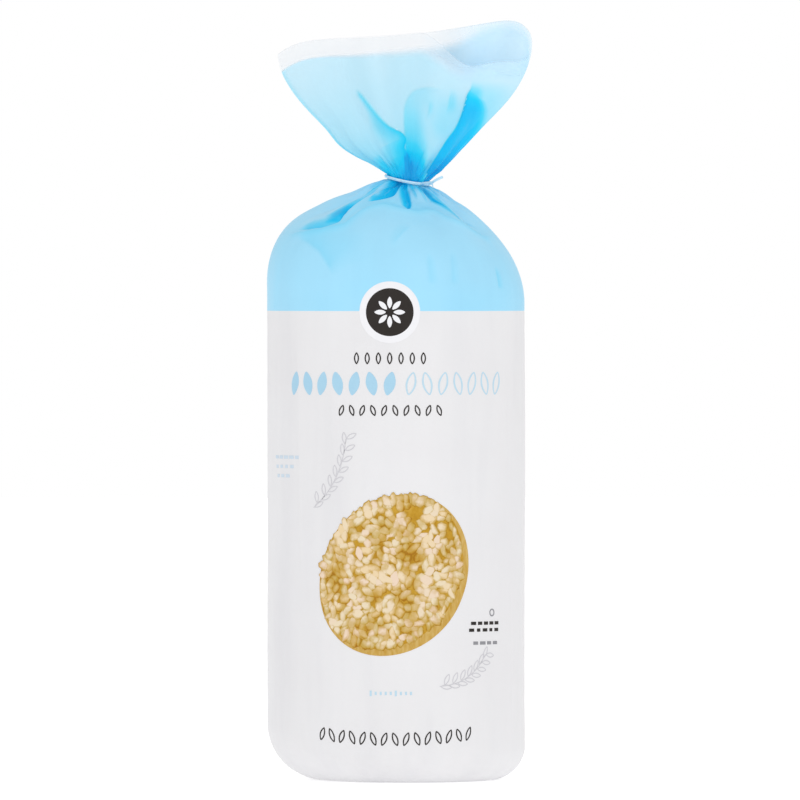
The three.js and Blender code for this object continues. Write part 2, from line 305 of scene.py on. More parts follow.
# Folds of the shoulder that run where the film was pulled hardest into the tie. Each stop is
# (degrees round the neck, share of the way from the neck to the wall); -90 is the front.
SHOULDER_FOLDS = (
    Fold(
        ((-153, 0.85), (-150, 0.83), (-137.6, 0.815), (-130.1, 0.79), (-125.7, 0.741)),
        -0.9, 5, 1.3, 8, ends=(0.3, 0.06), edge=0.15, swell=(0.8, 1, 0.9, 0.5),
    ),
    Fold(
        ((-125.9, 0.76), (-127.2, 0.65), (-128.3, 0.544), (-128.1, 0.392), (-136, 0.173), (-146, 0.0)),
        -1.0, 6, 2.6, 12, ends=(0.06, 0.3), edge=0.15,
        swell=(0.7, 1.2, 0.55, 0.35, 0.35, 0.4), taper=(0.6, 1, 0.8, 0.5, 0.4, 0.3),
    ),
    Fold(
        ((-121.5, 0.45), (-117.3, 0.435), (-110.1, 0.395), (-103.8, 0.33), (-101.4, 0.24), (-106, 0.0)),
        -1.0, 4, 4.3, 9.5, ends=(0.15, 0.0), edge=0.2,
        swell=(0.4, 0.9, 1.1, 1.1), taper=(0.5, 1, 1, 0.8),
    ),
    Fold(
        ((-126.5, 0.7), (-127.2, 0.65), (-128.3, 0.544), (-128.2, 0.48)),
        0.0, 6, 1.5, 9, ends=(0.3, 0.4), edge=0.2, taper=(0.7, 1, 0.8, 0.4),
    ),
    Fold(
        ((-119.1, 0.473), (-121, 0.348), (-123.5, 0.109), (-120, 0.0)),
        0.7, 3, steep=0.5, ends=(0.3, 0.0),
    ),
    Fold(
        ((-86.8, 0.49), (-84.2, 0.44), (-83, 0.36), (-83.6, 0.25), (-92, 0.0)),
        -1.1, 4, 4.2, 5.6, ends=(0.1, 0.0), edge=0.2, swell=(0.7, 1, 0.9, 0.9),
    ),
    Fold(
        ((-38, 0.6), (-45, 0.51), (-50, 0.38), (-53, 0.27), (-51.5, 0.02)),
        -0.9, 3, 3.4, 3.8, ends=(0.3, 0.0), swell=(0.4, 0.45, 0.8, 1, 0.3, 0.1),
    ),
    Fold(
        ((-28.4, 0.665), (-41.1, 0.58), (-44.2, 0.481), (-48, 0.362), (-46, 0.1)),
        -0.9, 3, 3.3, 4.2, ends=(0.15, 0.2), swell=(1, 0.9, 0.5, 0.4),
    ),
    Fold(
        ((-23.1, 0.6), (-30, 0.467), (-35.1, 0.346), (-40, 0.194), (-36, 0.05)),
        -0.7, 3, 0.7, 3, ends=(0.3, 0.2),
    ),
    Fold(((-139, 0.3), (-141, 0.14), (-140, 0.0)), 0.5, 1.2, 1.5, 1.5, ends=(0.4, 0.0)),
    Fold(((-112, 0.22), (-113, 0.1), (-112, 0.0)), 0.5, 1.2, 1.6, 1.3, ends=(0.4, 0.0)),
    Fold(((-95, 0.15), (-97, 0.07), (-98, 0.0)), 0.5, 1.2, 1.8, 1.1, ends=(0.4, 0.0)),
    Fold(((-74, 0.26), (-77, 0.12), (-80, 0.0)), 0.5, 1.2, 1.3, 1.3, ends=(0.4, 0.0)),
    Fold(((-64, 0.34), (-66, 0.15), (-68, 0.0)), 0.5, 1.2, 1.2, 1.3, ends=(0.4, 0.0)),
    Fold(((-93.4, 0.888), (-89.9, 0.814), (-82.2, 0.673)), 0.35, 4, 0.3, 5, 0.9, (0.4, 0.4)),
    Fold(
        ((-148.6, 0.872), (-130.7, 0.925), (-121.5, 0.976), (-118.7, 0.995)),
        -0.4, 6, 0.5, 24, 1.2, (0.3, 0.2),
    ),
    Fold(((-74.3, 0.858), (-73.8, 0.966), (-73.7, 0.995)), -0.25, 4, 0.28, 4, 1.8, (0.4, 0.2)),
    Fold(((-61.7, 0.834), (-62.7, 0.96), (-63.1, 0.993)), -0.25, 3, 0.25, 4, 1.8, (0.4, 0.2)),
    Fold(((-35.6, 0.91), (-36, 0.974), (-36.3, 0.992)), -0.3, 4, 0.5, 4, 1.0, (0.4, 0.2)),
)
# The edge where the gathered film turns into the smooth film over the topmost cake.
SHOULDER_EDGE = (
    (-165, 0.88), (-151.5, 0.864), (-136.2, 0.834), (-122.5, 0.779), (-118.9, 0.711),
    (-114.6, 0.575), (-105, 0.5), (-93.3, 0.5), (-82, 0.48), (-64.5, 0.45),
    (-54.6, 0.567), (-40.8, 0.65), (-27.7, 0.682), (-8, 0.7),
)


def random_folds(rng, count, low, high, quiet):
    """Folds spread evenly round the tie, each from the neck outwards and a little askew.

    quiet(angle) is the share of their length that they keep there.
    """
    for i in range(count):
        angle = 360 * (i + rng.uniform(-0.35, 0.35)) / count
        share = quiet(angle)
        length = mix(low, high, rng.random() ** 1.7) * share
        drift = rng.uniform(-9, 9)
        bend = rng.uniform(-4, 4)
        stops = [(angle + drift * t + bend * t * (1 - t), 1.5 + length * t) for t in (0, 0.35, 0.7, 1)]
        if rng.random() < 0.5:
            stops = stops[::-1]
        size = length / high
        yield stops, size, rng.random(), 1 if rng.random() < 0.5 else -1


def film_mesh(name, rings, first, last, places, values):
    """A closed surface of rings between two end points, with a map that unrolls it.

    places is how far each ring is along the film; values holds what the material reads.
    """
    count = len(rings)
    columns = rings.shape[1]
    verts = np.vstack([first, rings.reshape(-1, 3), last])
    verts = (verts + (AXIS_X, 0, 0)) * MM
    column = np.arange(columns)
    after = (column + 1) % columns
    faces, wraps = [], []
    share = places / places[-1]
    for side in column:
        faces.append((0, 1 + after[side], 1 + side))
        left, middle, right = side / columns, (side + 0.5) / columns, (side + 1) / columns
        wraps += [(middle, 0), (right, share[0]), (left, share[0])]
    for ring in range(count - 1):
        low, high = 1 + ring * columns, 1 + (ring + 1) * columns
        faces += np.stack([low + column, low + after, high + after, high + column], 1).tolist()
        left, right = column / columns, (column + 1) / columns
        bottom, top = np.full(columns, share[ring]), np.full(columns, share[ring + 1])
        corners = [(left, bottom), (right, bottom), (right, top), (left, top)]
        wraps += np.stack([np.stack(c, 1) for c in corners], 1).reshape(-1, 2).tolist()
    end = 1 + count * columns
    top = 1 + (count - 1) * columns
    for side in column:
        faces.append((end, top + side, top + after[side]))
        left, middle, right = side / columns, (side + 0.5) / columns, (side + 1) / columns
        wraps += [(middle, 1), (left, share[-1]), (right, share[-1])]
    mesh = new_mesh(name, verts.tolist(), [], faces)
    mesh.polygons.foreach_set("use_smooth", np.ones(len(mesh.polygons), bool))
    unrolled = mesh.uv_layers.new(name="OFBake")
    unrolled.uv.foreach_set("vector", np.clip(np.array(wraps, np.float32), 0, 1).ravel())
    for kept, over in values.items():
        over = over.ravel()
        keep_values(mesh, kept, np.concatenate([over[:1], over, over[-1:]]))
    mesh.update()
    return new_object(name, mesh)


def outward(rings):
    """Unit normals of rings of points that run upwards, counter-clockwise from above."""
    around = np.roll(rings, -1, 1) - np.roll(rings, 1, 1)
    along = np.gradient(rings, axis=0)
    normal = np.cross(around, along)
    return normal / np.maximum(np.linalg.norm(normal, axis=2, keepdims=True), 1e-9)


def ring_of(points):
    return np.stack([np.broadcast_to(p, np.shape(points[0])) for p in points], 1)


def along_rings(rings):
    steps = np.linalg.norm(np.diff(rings, axis=0), axis=2)
    return np.concatenate([np.zeros((1, rings.shape[1])), np.cumsum(steps, 0)])


def wall_relief(angle, z):
    """The film's slack on the stack: soft upright waves and the faint edge of each cake."""
    waves = 0.16 * np.sin(5 * angle + 0.02 * z) + 0.1 * np.sin(11 * angle - 0.035 * z + 1)
    waves = waves + 0.07 * np.sin(19 * angle + 0.05 * z + 2.3)
    cakes = -0.07 * np.abs(np.cos(math.pi * (z - 2) / CAKE_PITCH)) ** 12
    return (waves - 0.2 + cakes) * smooth(2, 26, z) * (1 - smooth(182, 204, z))


# Upright creases of the wall: degrees round it, from and to a height, depth and width.
WALL_CREASES = (
    (-140, 60, 176, 0.35, 3.5), (-121, 96, 180, 0.3, 4), (-34, 118, 184, 0.35, 4),
    (-54, 140, 188, 0.35, 5), (-150, 20, 70, 0.3, 4), (-28, 16, 80, 0.3, 4),
    (30, 30, 150, 0.35, 5), (64, 90, 185, 0.4, 5), (118, 60, 186, 0.4, 5), (156, 24, 120, 0.3, 4),
)


def film_wrap():
    rng = np.random.default_rng(WRAP_SEED)
    flat = [[share * p for p in foot_point(ANGLES, 0)] for share in (0.25, 0.5, 0.7, 0.85, 0.94)]
    foot = [foot_point(ANGLES, t) for t in np.linspace(0, 1, FOOT_RINGS + 1)]
    wall = [wall_point(ANGLES, t) for t in np.linspace(0, 1, WALL_RINGS + 1)[1:]]
    shoulder = [shoulder_point(ANGLES, t) for t in np.linspace(0, 1, SHOULDER_RINGS + 1)[1:]]
    neck = (*neck_outline(), groove_height(ANGLES))
    rings = np.stack([ring_of(r) for r in flat + foot + wall + shoulder + [neck]])
    angle = np.broadcast_to(ANGLES, rings.shape[:2])
    height = rings[:, :, 2]
    foot_at, shoulder_at = len(flat), len(flat + foot + wall) - 1

    relief = wall_relief(angle, height)
    # The end is folded under: pleats round its edge, and a flat part a little off the floor.
    tucked = soft_triangle(21 * angle + 1.5 * np.sin(3 * angle)) - 1
    edge = np.zeros(len(rings))
    round_foot = np.sin(np.linspace(0, math.pi, FOOT_RINGS + 1))
    edge[foot_at : foot_at + FOOT_RINGS + 1] = round_foot**0.8
    relief = relief + 0.22 * tucked * (edge * (1 - smooth(4, 17, height.mean(1))))[:, None]
    for degrees, low, high, depth, width in WALL_CREASES:
        apart = (np.degrees(angle) - degrees + 180) % 360 - 180
        lean = apart * math.radians(BODY_RADIUS) + 0.03 * (height - high)
        crease = hump(lean, 0, width) + 0.6 * hump(lean, 0, 0.8)
        held = smooth(low, low + 25, height) * (1 - smooth(high - 18, high + 8, height))
        relief = relief + 0.5 * depth * crease * held * (height < 200)

    # The shoulder's folds are laid out on a flat map round the neck, true along each radius.
    reached = along_rings(rings[::-1])[::-1]
    from_neck = reached[shoulder_at:]
    around = angle[shoulder_at:]
    places = np.stack([from_neck * np.cos(around), from_neck * np.sin(around)], 2)
    places *= ((from_neck + NECK_RADIUS) / np.maximum(from_neck, 1e-6))[:, :, None]
    folds = Folds(places.reshape(-1, 2))
    top_rings = rings[shoulder_at:]
    shares = np.hypot(top_rings[:, :, 0] - NECK_OFFSET, top_rings[:, :, 1]) - NECK_RADIUS
    shares = np.clip(shares / shares[0], 0, 1)

    def place(degrees, share):
        column = round((math.radians(degrees) - math.pi / 2) % TAU / TAU * COLUMNS) % COLUMNS
        distance = np.interp(share, shares[::-1, column], from_neck[::-1, column])
        return polar_point(degrees, distance + NECK_RADIUS)

    for fold in SHOULDER_FOLDS:
        folds.add(fold._replace(line=[place(*stop) for stop in fold.line]))
    edge_line = [place(*stop) for stop in SHOULDER_EDGE]
    # A ridge where the film turns smooth, with a little painted shade in the layers on its upper side.
    folds.add(Fold(edge_line, 0.75, 5, 0.4, 9, 2.2, (0.15, 0.15)))

    def calm_front(degrees):
        front = abs((degrees + 90 + 180) % 360 - 180)
        return 0.22 if front < 100 else 1

    stray = random_folds(rng, count=46, low=8, high=46, quiet=calm_front)
    for line, size, side, way in stray:
        stops = [polar_point(a, NECK_RADIUS + r) for a, r in line]
        height = way * (0.2 + 0.75 * size)
        layers = (0.4 + 3 * side) * min(1, 2.5 * size)
        folds.add(Fold(stops, height, 1.6 + 4 * size, layers, 2 + 7 * size, ends=(0.2, 0.25)))
    shape = (len(rings) - shoulder_at, COLUMNS)
    near_neck = 1 - smooth(2, 24, from_neck)
    fine = soft_triangle(31 * around + 3 * np.sin(4 * around) + 0.05 * from_neck)
    relief_top = folds.settled(0.25 + 0.075 * from_neck.ravel()).reshape(shape)
    relief_top += 0.2 * (fine - 1) * near_neck * smooth(0, 3, from_neck)
    relief_top *= smooth(0, 2.5, from_neck)
    relief[shoulder_at:] += relief_top
    layers = np.zeros(rings.shape[:2])
    # Gathered film lies in more layers near the tie; the extra layers in the pleats' hollows are
    # painted shade.
    gathered = 1.1 * np.exp(-from_neck / 4) * (1 - 0.6 * narrow_pleat(around))
    layers[shoulder_at:] = folds.layers.reshape(shape) + gathered
    rings = rings + outward(rings) * relief[:, :, None]
    rings[:foot_at, :, 2] = FOOT_LIFT
    lengths = along_rings(rings).mean(1)
    top = (NECK_OFFSET, 0, NECK_HEIGHT)
    first = (0, 0, FOOT_LIFT)
    return film_mesh("film_wrap", rings, first, top, lengths + 6, {"layers": layers})


# Folds of the fan's front. Each stop is (across from the stack's axis, height off the floor).
FAN_FOLDS = (
    Fold(
        (
            (3.9, 233), (4.3, 241), (2.8, 244.5), (3.4, 247.3), (2.4, 249.6), (-0.6, 251.3),
            (-4.2, 253.8), (-9.3, 260), (-13, 264.6), (-15.8, 267.5),
        ),
        1.3, 6, 3.4, 9.5, steep=0.4, ends=(0.0, 0.1), edge=0.72,
        swell=(1.2, 1, 0.75, 0.7, 0.55, 0.5, 0.45, 0.42, 0.38, 0.34),
        taper=(1, 1, 1, 1, 0.9, 0.7, 0.35, 0.2, 0.15),
    ),
    Fold(
        (
            (19.9, 265.9), (15.4, 267.3), (11, 267.3), (6.5, 265.5), (3.8, 261), (3.4, 255.6),
            (3.8, 250.2), (4.4, 241), (4.6, 233),
        ),
        0.6, 5, 4.0, 9.5, steep=0.5, ends=(0.2, 0.0), edge=0.12,
        swell=(0.06, 0.08, 0.09, 0.1, 0.12, 0.16, 0.2, 0.27, 0.45, 0.9, 1.1),
        taper=(1.3, 1.2, 1.1, 1, 0.75),
    ),
    Fold(((21.4, 268), (20.9, 263.7), (19.6, 256.5)), 0.4, 3, 0.5, 4, ends=(0.4, 0.5), edge=0.2),
    Fold(((13.6, 263.7), (13.2, 259.2), (11.9, 254.7)), 0.4, 3, 0.4, 2, 0.6, (0.4, 0.5)),
    Fold(
        (
            (29.8, 270.5), (29.2, 267.3), (27.9, 264.6), (26.2, 258.3), (23.5, 252.1),
            (19, 245.8), (12.6, 235),
        ),
        1.8, 6, 4.0, 12, ends=(0.3, 0.0), edge=0.05,
        swell=(0.8, 1, 1, 1, 1, 1.05), taper=(0.35, 0.8, 1, 1, 0.9),
    ),
    Fold(
        ((29.8, 272), (29.2, 267.3), (27.9, 264.6), (26.2, 258.3), (23.5, 252.1)),
        0.0, 6, 0.6, 22, ends=(0.3, 0.4), edge=0.0, taper=(1, 1),
    ),
    Fold(
        ((17, 243), (22.5, 250), (26, 258.3), (27.9, 264.6), (29.2, 267.3)),
        0.0, 6, 0.45, 17, ends=(0.3, 0.4), edge=0.0, taper=(0.7, 1, 1),
    ),
    Fold(((3.1, 243), (3.2, 239.5), (4.1, 233)), 0.6, 1.6, 3.2, 1.6, 0.3, (0.3, 0.0)),
    Fold(((6.6, 241), (5.6, 238), (5.2, 233)), 0.6, 1.6, 2.6, 1.4, 0.3, (0.4, 0.0)),
    Fold(((-1.5, 234), (-4.5, 238), (-8, 242)), 0.4, 2, 0.6, 3, 0.4, (0.0, 0.5)),
    Fold(((9.4, 234), (10.2, 237), (11.5, 241)), 0.4, 1.6, 0.8, 2, 0.3, (0.0, 0.5)),
    Fold(((36, 274.8), (42.3, 273.1), (48.5, 272.6)), 0.5, 2.5, ends=(0.3, 0.1)),
)
FAN_FOOT = (4.6, 233)  # where the small folds spread from, across and up
FAN_SINK = 0.2  # how deep the fan's foot reaches into the wrap's end
BACK_ASIDE = 1000  # so far aside that no fold of one sheet reaches the other
# How much narrower the clear strip is on the right, behind and in front.
STRIP_LOSS_BACK, STRIP_LOSS_FRONT = 4.2, 3.4


def film_fan():
    rng = np.random.default_rng(FAN_SEED)
    x, y = neck_outline()
    bottom = (x, y, groove_height(ANGLES) - FAN_SINK)
    shares = np.linspace(0, 1, FAN_RINGS + 1) ** 1.2
    outer = np.stack([ring_of(bottom)] + [ring_of(fan_point(ANGLES, t)) for t in shares])
    inner_shares = np.linspace(1, FAN_FLOOR, HOLLOW_RINGS + 1)
    inner = np.stack([ring_of(fan_point(ANGLES, t, FILM_THICKNESS)) for t in inner_shares])
    to_rim = along_rings(outer[::-1])[::-1]

    def laid_flat(rings):
        """Each sheet as (across, height), the back one moved well aside."""
        back = BACK_ASIDE * (np.sin(ANGLES) > 0)
        return np.stack([rings[:, :, 0] + back, rings[:, :, 2]], 2).reshape(-1, 2)

    def calm_front(degrees):
        return 0.3 if math.sin(math.radians(degrees)) < 0 else 1

    stray = list(random_folds(rng, count=40, low=9, high=36, quiet=calm_front))
    sheets, layers = [], []
    for rings, facing in ((outer, 1), (inner, -1)):
        folds = Folds(laid_flat(rings))
        for fold in FAN_FOLDS:
            folds.add(fold)
        # The small folds spread from the foot, each leaning by its place round the neck.
        for line, size, side, way in stray:
            degrees = np.array([a for a, _ in line])
            out = np.array([r for _, r in line])
            back = BACK_ASIDE if math.sin(math.radians(degrees[1])) > 0 else 0
            aside = np.cos(np.radians(degrees))
            lean = np.radians(90 - 62 * aside)
            x = FAN_FOOT[0] + out * np.cos(lean) + 7 * aside + back
            stops = np.stack([x, FAN_FOOT[1] + out * np.sin(lean)], 1)
            height, doubled = way * (0.1 + 1.2 * size), 2.5 * size * side
            width, cover = 1.5 + 4 * size, 1.5 + 5 * size
            folds.add(Fold(stops, height, width, doubled, cover, ends=(0.2, 0.3)))
        height = rings[:, :, 2]
        above = height - groove_height(np.broadcast_to(ANGLES, height.shape))
        held = smooth(1.1, 5, above) * (1 - 0.8 * smooth(0.93, 1, np.abs(np.cos(ANGLES)))[None, :])
        relief = folds.settled(0.3 + 0.07 * above.ravel()).reshape(height.shape) * held
        # Gathered film lies in more layers near the tie, most of all in the middle.
        centre, core = hump(rings[:, :, 0], 8, 13), hump(rings[:, :, 0], 5.5, 3.5)
        gathered = 1.3 * np.exp(-above / 7) + (0.45 + 0.4 * centre) * np.exp(-above / 20)
        gathered += 1.5 * np.exp(-above / 10) * core
        gathered += 0.4 * smooth(0.96, 1, np.abs(np.cos(ANGLES)))[None, :]
        sheets.append(rings + facing * outward(rings) * relief[:, :, None])
        layers.append(folds.layers.reshape(height.shape) + gathered)
    outer, inner = sheets
    rings, layers = np.concatenate(sheets), np.concatenate(layers)
    inside = np.concatenate([np.zeros(outer.shape[:2]), np.ones(inner.shape[:2])])
    to_rim = np.concatenate([to_rim, along_rings(inner)])
    across, back = np.cos(ANGLES), np.sin(ANGLES)
    narrower = STRIP_LOSS_BACK * smooth(0.35, 0.75, across) * smooth(-0.1, 0.3, back)
    narrower += STRIP_LOSS_FRONT * smooth(0.15, 0.6, across) * (1 - smooth(-0.35, -0.05, back))
    first = (NECK_OFFSET, 0, NECK_HEIGHT - FAN_SINK)
    last = inner[-1].mean(0) - (0, 0, 2)
    lengths = along_rings(rings).mean(1)
    values = {"layers": layers, "to_rim": to_rim + narrower, "inside": inside}
    return film_mesh("film_fan", rings, first, last, lengths + 3, values)


# ---------------------------------------------------------------- node helpers


def add(tree, kind, inputs=None, **settings):
    """A new node, its inputs set to values or linked to other nodes' outputs."""
    node = tree.nodes.new(kind)
    for key, value in settings.items():
        setattr(node, key, value)
    for key, value in (inputs or {}).items():
        if isinstance(value, bpy.types.NodeSocket):
            tree.links.new(value, node.inputs[key])
        else:
            node.inputs[key].default_value = value
    return node


def result(tree, kind, inputs=None, **settings):
    return add(tree, kind, inputs, **settings).outputs[0]


def tone(red, green, blue):
    """A printed colour from its 0-255 values."""
    def straight(value):
        value /= 255
        return value / 12.92 if value <= 0.04045 else ((value + 0.055) / 1.055) ** 2.4
    return straight(red), straight(green), straight(blue), 1.0


def tones(*colours):
    return tuple(tone(*colour) for colour in colours)


def new_finish(name):
    material = bpy.data.materials.new(name)
    material.use_nodes = True
    tree = material.node_tree
    tree.nodes.clear()
    output = tree.nodes.new("ShaderNodeOutputMaterial")
    return material, tree, output


def stepped(tree, operation, a, b):
    return result(tree, "ShaderNodeMath", {0: a, 1: b}, operation=operation)


def plus(tree, a, b):
    return stepped(tree, "ADD", a, b)


def minus(tree, a, b):
    return stepped(tree, "SUBTRACT", a, b)


def times(tree, a, b):
    return stepped(tree, "MULTIPLY", a, b)


def swing(tree, value, middle, size):
    """How far the value is from the middle, times size."""
    return times(tree, minus(tree, value, middle), size)


def by_turns(tree, size):
    """Minus size and plus size by turns, from one mark to the next."""
    odd = stepped(tree, "MODULO", result(tree, "GeometryNodeInputIndex"), 2.0)
    return times(tree, minus(tree, times(tree, odd, 2.0), 1.0), size)


def mapped(tree, value, span, seen=(0, 1), kind="LINEAR"):
    """The value, carried from the span seen to the other span."""
    ends = {"From Min": seen[0], "From Max": seen[1], "To Min": span[0], "To Max": span[1]}
    return result(tree, "ShaderNodeMapRange", {"Value": value, **ends}, interpolation_type=kind)


def noise(tree, place, scale, detail, roughness=0.5):
    inputs = {"Vector": place, "Scale": scale, "Detail": detail, "Roughness": roughness}
    return result(tree, "ShaderNodeTexNoise", inputs)


def vector(tree, x=0.0, y=0.0, z=0.0):
    return result(tree, "ShaderNodeCombineXYZ", {0: x, 1: y, 2: z})


def joined(tree, *parts):
    node = tree.nodes.new("GeometryNodeJoinGeometry")
    for part in parts:
        tree.links.new(part, node.inputs[0])
    return node.outputs[0]


def set_on(tree, points, mark, **more):
    """A copy of the mark on each point."""
    inputs = {"Points": points, "Instance": mark, **more}
    return result(tree, "GeometryNodeInstanceOnPoints", inputs)


def random_number(tree, low, high, seed):
    """A random number for each mark; the node's inputs 2 and 3 are its span for plain numbers."""
    inputs = {2: low, 3: high, "Seed": seed}
    return add(tree, "FunctionNodeRandomValue", inputs, data_type="FLOAT").outputs[1]


def attribute(tree, name):
    return add(tree, "ShaderNodeAttribute", attribute_name=name).outputs["Fac"]


def object_place(tree):
    return add(tree, "ShaderNodeTexCoord").outputs["Object"]


def plastic(tree, colour, rough, bump, shine=0.22):
    return add(
        tree, "ShaderNodeBsdfPrincipled",
        {"Base Color": colour, "Roughness": rough, "Normal": bump, "Specular IOR Level": shine},
    )


def blended(tree, share, a, b, kind="MIX"):
    """Two colours mixed; they are the node's inputs 6 and 7, and its output 2."""
    inputs = {0: share, 6: a, 7: b}
    return add(tree, "ShaderNodeMix", inputs, data_type="RGBA", blend_type=kind).outputs[2]


def ramp(tree, value, colours):
    """The colours, evenly spaced from 0 to 1."""
    node = add(tree, "ShaderNodeValToRGB", {0: value})
    elements = node.color_ramp.elements
    while len(elements) < len(colours):
        elements.new(0.5)
    for i, colour in enumerate(colours):
        elements[i].position, elements[i].color = i / (len(colours) - 1), colour
    return node.outputs[0]


# The light-blue ink as it looks on one layer of film, and on 1, 2, ... 6 more pressed together;
# the deeper colours also serve as the painted shade of creases and pleat hollows.
MOST_LAYERS = 6.0
WRAP_BLUE = tones(
    (165, 224, 251), (116, 214, 248), (58, 203, 246), (12, 192, 243),
    (0, 184, 238), (0, 168, 226), (0, 146, 208),
)
# The fan's colours are paler than the wrap's: painted light, standing in for light that comes through
# the loose film from behind.
FAN_BLUE_BACKLIT = tones(
    (209, 242, 255), (140, 232, 255), (62, 222, 255), (0, 213, 255),
    (0, 206, 255), (0, 192, 250), (0, 174, 238),
)
FAN_INSIDE = tone(213, 240, 255)
# In millimetres: how high the blue ends on the body, and how wide the clear strip at the rim is.
BLUE_EDGE = 181.5
CLEAR_RIM = 7.2


def crinkle(tree, place, strength):
    """Bump of thin film: small flat facets, drawn out upwards, and a fine unevenness."""
    drawn = result(tree, "ShaderNodeMapping", {"Vector": place, "Scale": (170, 170, 62)})
    bent = add(tree, "ShaderNodeTexNoise", {"Vector": place, "Scale": 55, "Detail": 2})
    moved = result(tree, "ShaderNodeVectorMath", {0: drawn, 1: bent.outputs["Color"]}, operation="ADD")
    facets = {"Vector": moved, "Scale": 1.0}
    facets = result(tree, "ShaderNodeTexVoronoi", facets, feature="SMOOTH_F1")
    waves = noise(tree, place, 190, 3)
    height = plus(tree, facets, times(tree, waves, 0.55))
    bump = {"Strength": strength, "Distance": 0.7 * MM, "Height": height}
    return result(tree, "ShaderNodeBump", bump)


def film_finish(name, loose):
    """Printed film: blue above the print's edge, white below, and clear at the fan's rim."""
    material, tree, output = new_finish(name)
    place = object_place(tree)
    layers = attribute(tree, "layers")
    cloud = noise(tree, place, 30, 3)
    uneven = swing(tree, cloud, 0.5, 0.5)
    upright = result(tree, "ShaderNodeMapping", {"Vector": place, "Scale": (62, 62, 7)})
    streaks = noise(tree, upright, 1.0, 3, 0.55)
    depth = stepped(tree, "DIVIDE", plus(tree, layers, uneven), MOST_LAYERS)
    blue = ramp(tree, depth, FAN_BLUE_BACKLIT if loose else WRAP_BLUE)
    bump = crinkle(tree, place, 0.34 if loose else 0.26)
    rough = mapped(tree, cloud, (0.34, 0.46))
    if loose:
        to_rim = attribute(tree, "to_rim")
        edge = plus(tree, CLEAR_RIM, times(tree, uneven, 3.0))
        across = result(tree, "ShaderNodeSeparateXYZ", {0: place})
        soft = mapped(tree, across, (0.7, 4.2), (-0.03, 0.03))
        soft_span = (times(tree, soft, -1.0), soft)
        printed = mapped(tree, minus(tree, to_rim, edge), (0, 1), soft_span, "SMOOTHSTEP")
        inside = attribute(tree, "inside")
        blue = blended(tree, times(tree, inside, 0.88), blue, FAN_INSIDE)
        rightward = mapped(tree, across, (0, 1), (0.008, 0.031))
        clear_film = blended(tree, rightward, tone(245, 248, 251), tone(211, 239, 255))
        colour = blended(tree, printed, clear_film, blue)
    else:
        height = add(tree, "ShaderNodeSeparateXYZ", {0: place}).outputs[2]
        printed = stepped(tree, "GREATER_THAN", height, BLUE_EDGE * MM)
        mottle = blended(tree, cloud, tone(229, 227, 229), tone(236, 235, 237))
        folded = blended(tree, times(tree, layers, 0.12), mottle, tone(196, 198, 204))
        colour = blended(tree, printed, folded, blue)
        # Painted shade: the film a little darker in soft upright streaks, as light falls on its waves.
        streak_shade = ramp(tree, streaks, tones((241, 242, 244), (251, 252, 252), (255, 255, 255)))
        colour = blended(tree, 1.0, colour, streak_shade, "MULTIPLY")
    skin = plastic(tree, colour, rough, bump)
    if loose:
        # Painted glow: emission on the fan's inside and its clear strip, more to the right,
        # standing in for light that comes through the film from its other side.
        painted_glow = stepped(tree, "MAXIMUM", inside, minus(tree, 1.0, printed))
        painted_glow = times(tree, painted_glow, rightward)
        tree.links.new(colour, skin.inputs["Emission Color"])
        tree.links.new(times(tree, painted_glow, 0.08), skin.inputs["Emission Strength"])
        through = result(tree, "ShaderNodeBsdfTranslucent", {"Color": colour, "Normal": bump})
        outer = minus(tree, 1.0, inside)
        mixed = {0: times(tree, outer, 0.08), 1: skin.outputs[0], 2: through}
        skin = add(tree, "ShaderNodeMixShader", mixed)
        clear = result(tree, "ShaderNodeBsdfTransparent", {"Color": (0.99, 0.992, 0.995, 1)})
        clearest = minus(tree, 0.87, times(tree, rightward, 0.17))
        share = mapped(tree, printed, (clearest, 0.08))
        skin = add(tree, "ShaderNodeMixShader", {0: share, 1: skin.outputs[0], 2: clear})
    tree.links.new(skin.outputs[0], output.inputs["Surface"])
    return material


def ink_finish(name, colour, shade):
    """Flat ink with the slight unevenness of a printed field, from its colour to a shade of it."""
    material, tree, output = new_finish(name)
    place = object_place(tree)
    cloud = noise(tree, place, 260, 3)
    field = blended(tree, cloud, colour, shade)
    rough = mapped(tree, cloud, (0.36, 0.5))
    skin = plastic(tree, field, rough, crinkle(tree, place, 0.1))
    tree.links.new(skin.outputs[0], output.inputs["Surface"])
    return material


def finish_piece(piece, node, material=None):
    if material:
        piece.data.materials.clear()
        piece.data.materials.append(material)
    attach(piece, "root")
    if node:
        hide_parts(node)
    return piece


def grown(name, source, sizes, material, build):
    """A plain mesh object that a node tree makes from source; build adds the tree's own nodes."""
    tree = bpy.data.node_groups.new(name, "GeometryNodeTree")
    sockets = {"Geometry": ("NodeSocketGeometry", None)}
    for size, value in sizes.items():
        kind = "NodeSocketInt" if isinstance(value, int) else "NodeSocketFloat"
        sockets[size] = (kind, value)
    keys = {}
    for size, (kind, value) in sockets.items():
        socket = tree.interface.new_socket(size, in_out="INPUT", socket_type=kind)
        keys[socket.identifier] = value
    tree.interface.new_socket("Geometry", in_out="OUTPUT", socket_type="NodeSocketGeometry")
    start, end = tree.nodes.new("NodeGroupInput"), tree.nodes.new("NodeGroupOutput")
    made = build(tree, start.outputs)
    made = result(tree, "GeometryNodeRealizeInstances", {0: made})
    made = result(tree, "GeometryNodeSetMaterial", {0: made, "Material": material})
    tree.links.new(made, end.inputs[0])
    modifier = source.modifiers.new(name, "NODES")
    modifier.node_group = tree
    for identifier, value in keys.items():
        if value is not None:
            modifier[identifier] = value
    evaluated = source.evaluated_get(bpy.context.evaluated_depsgraph_get())
    mesh = bpy.data.meshes.new_from_object(evaluated)
    source.modifiers.remove(modifier)
    bpy.data.objects.remove(source)
    mesh.name = name
    return new_object(name, mesh)


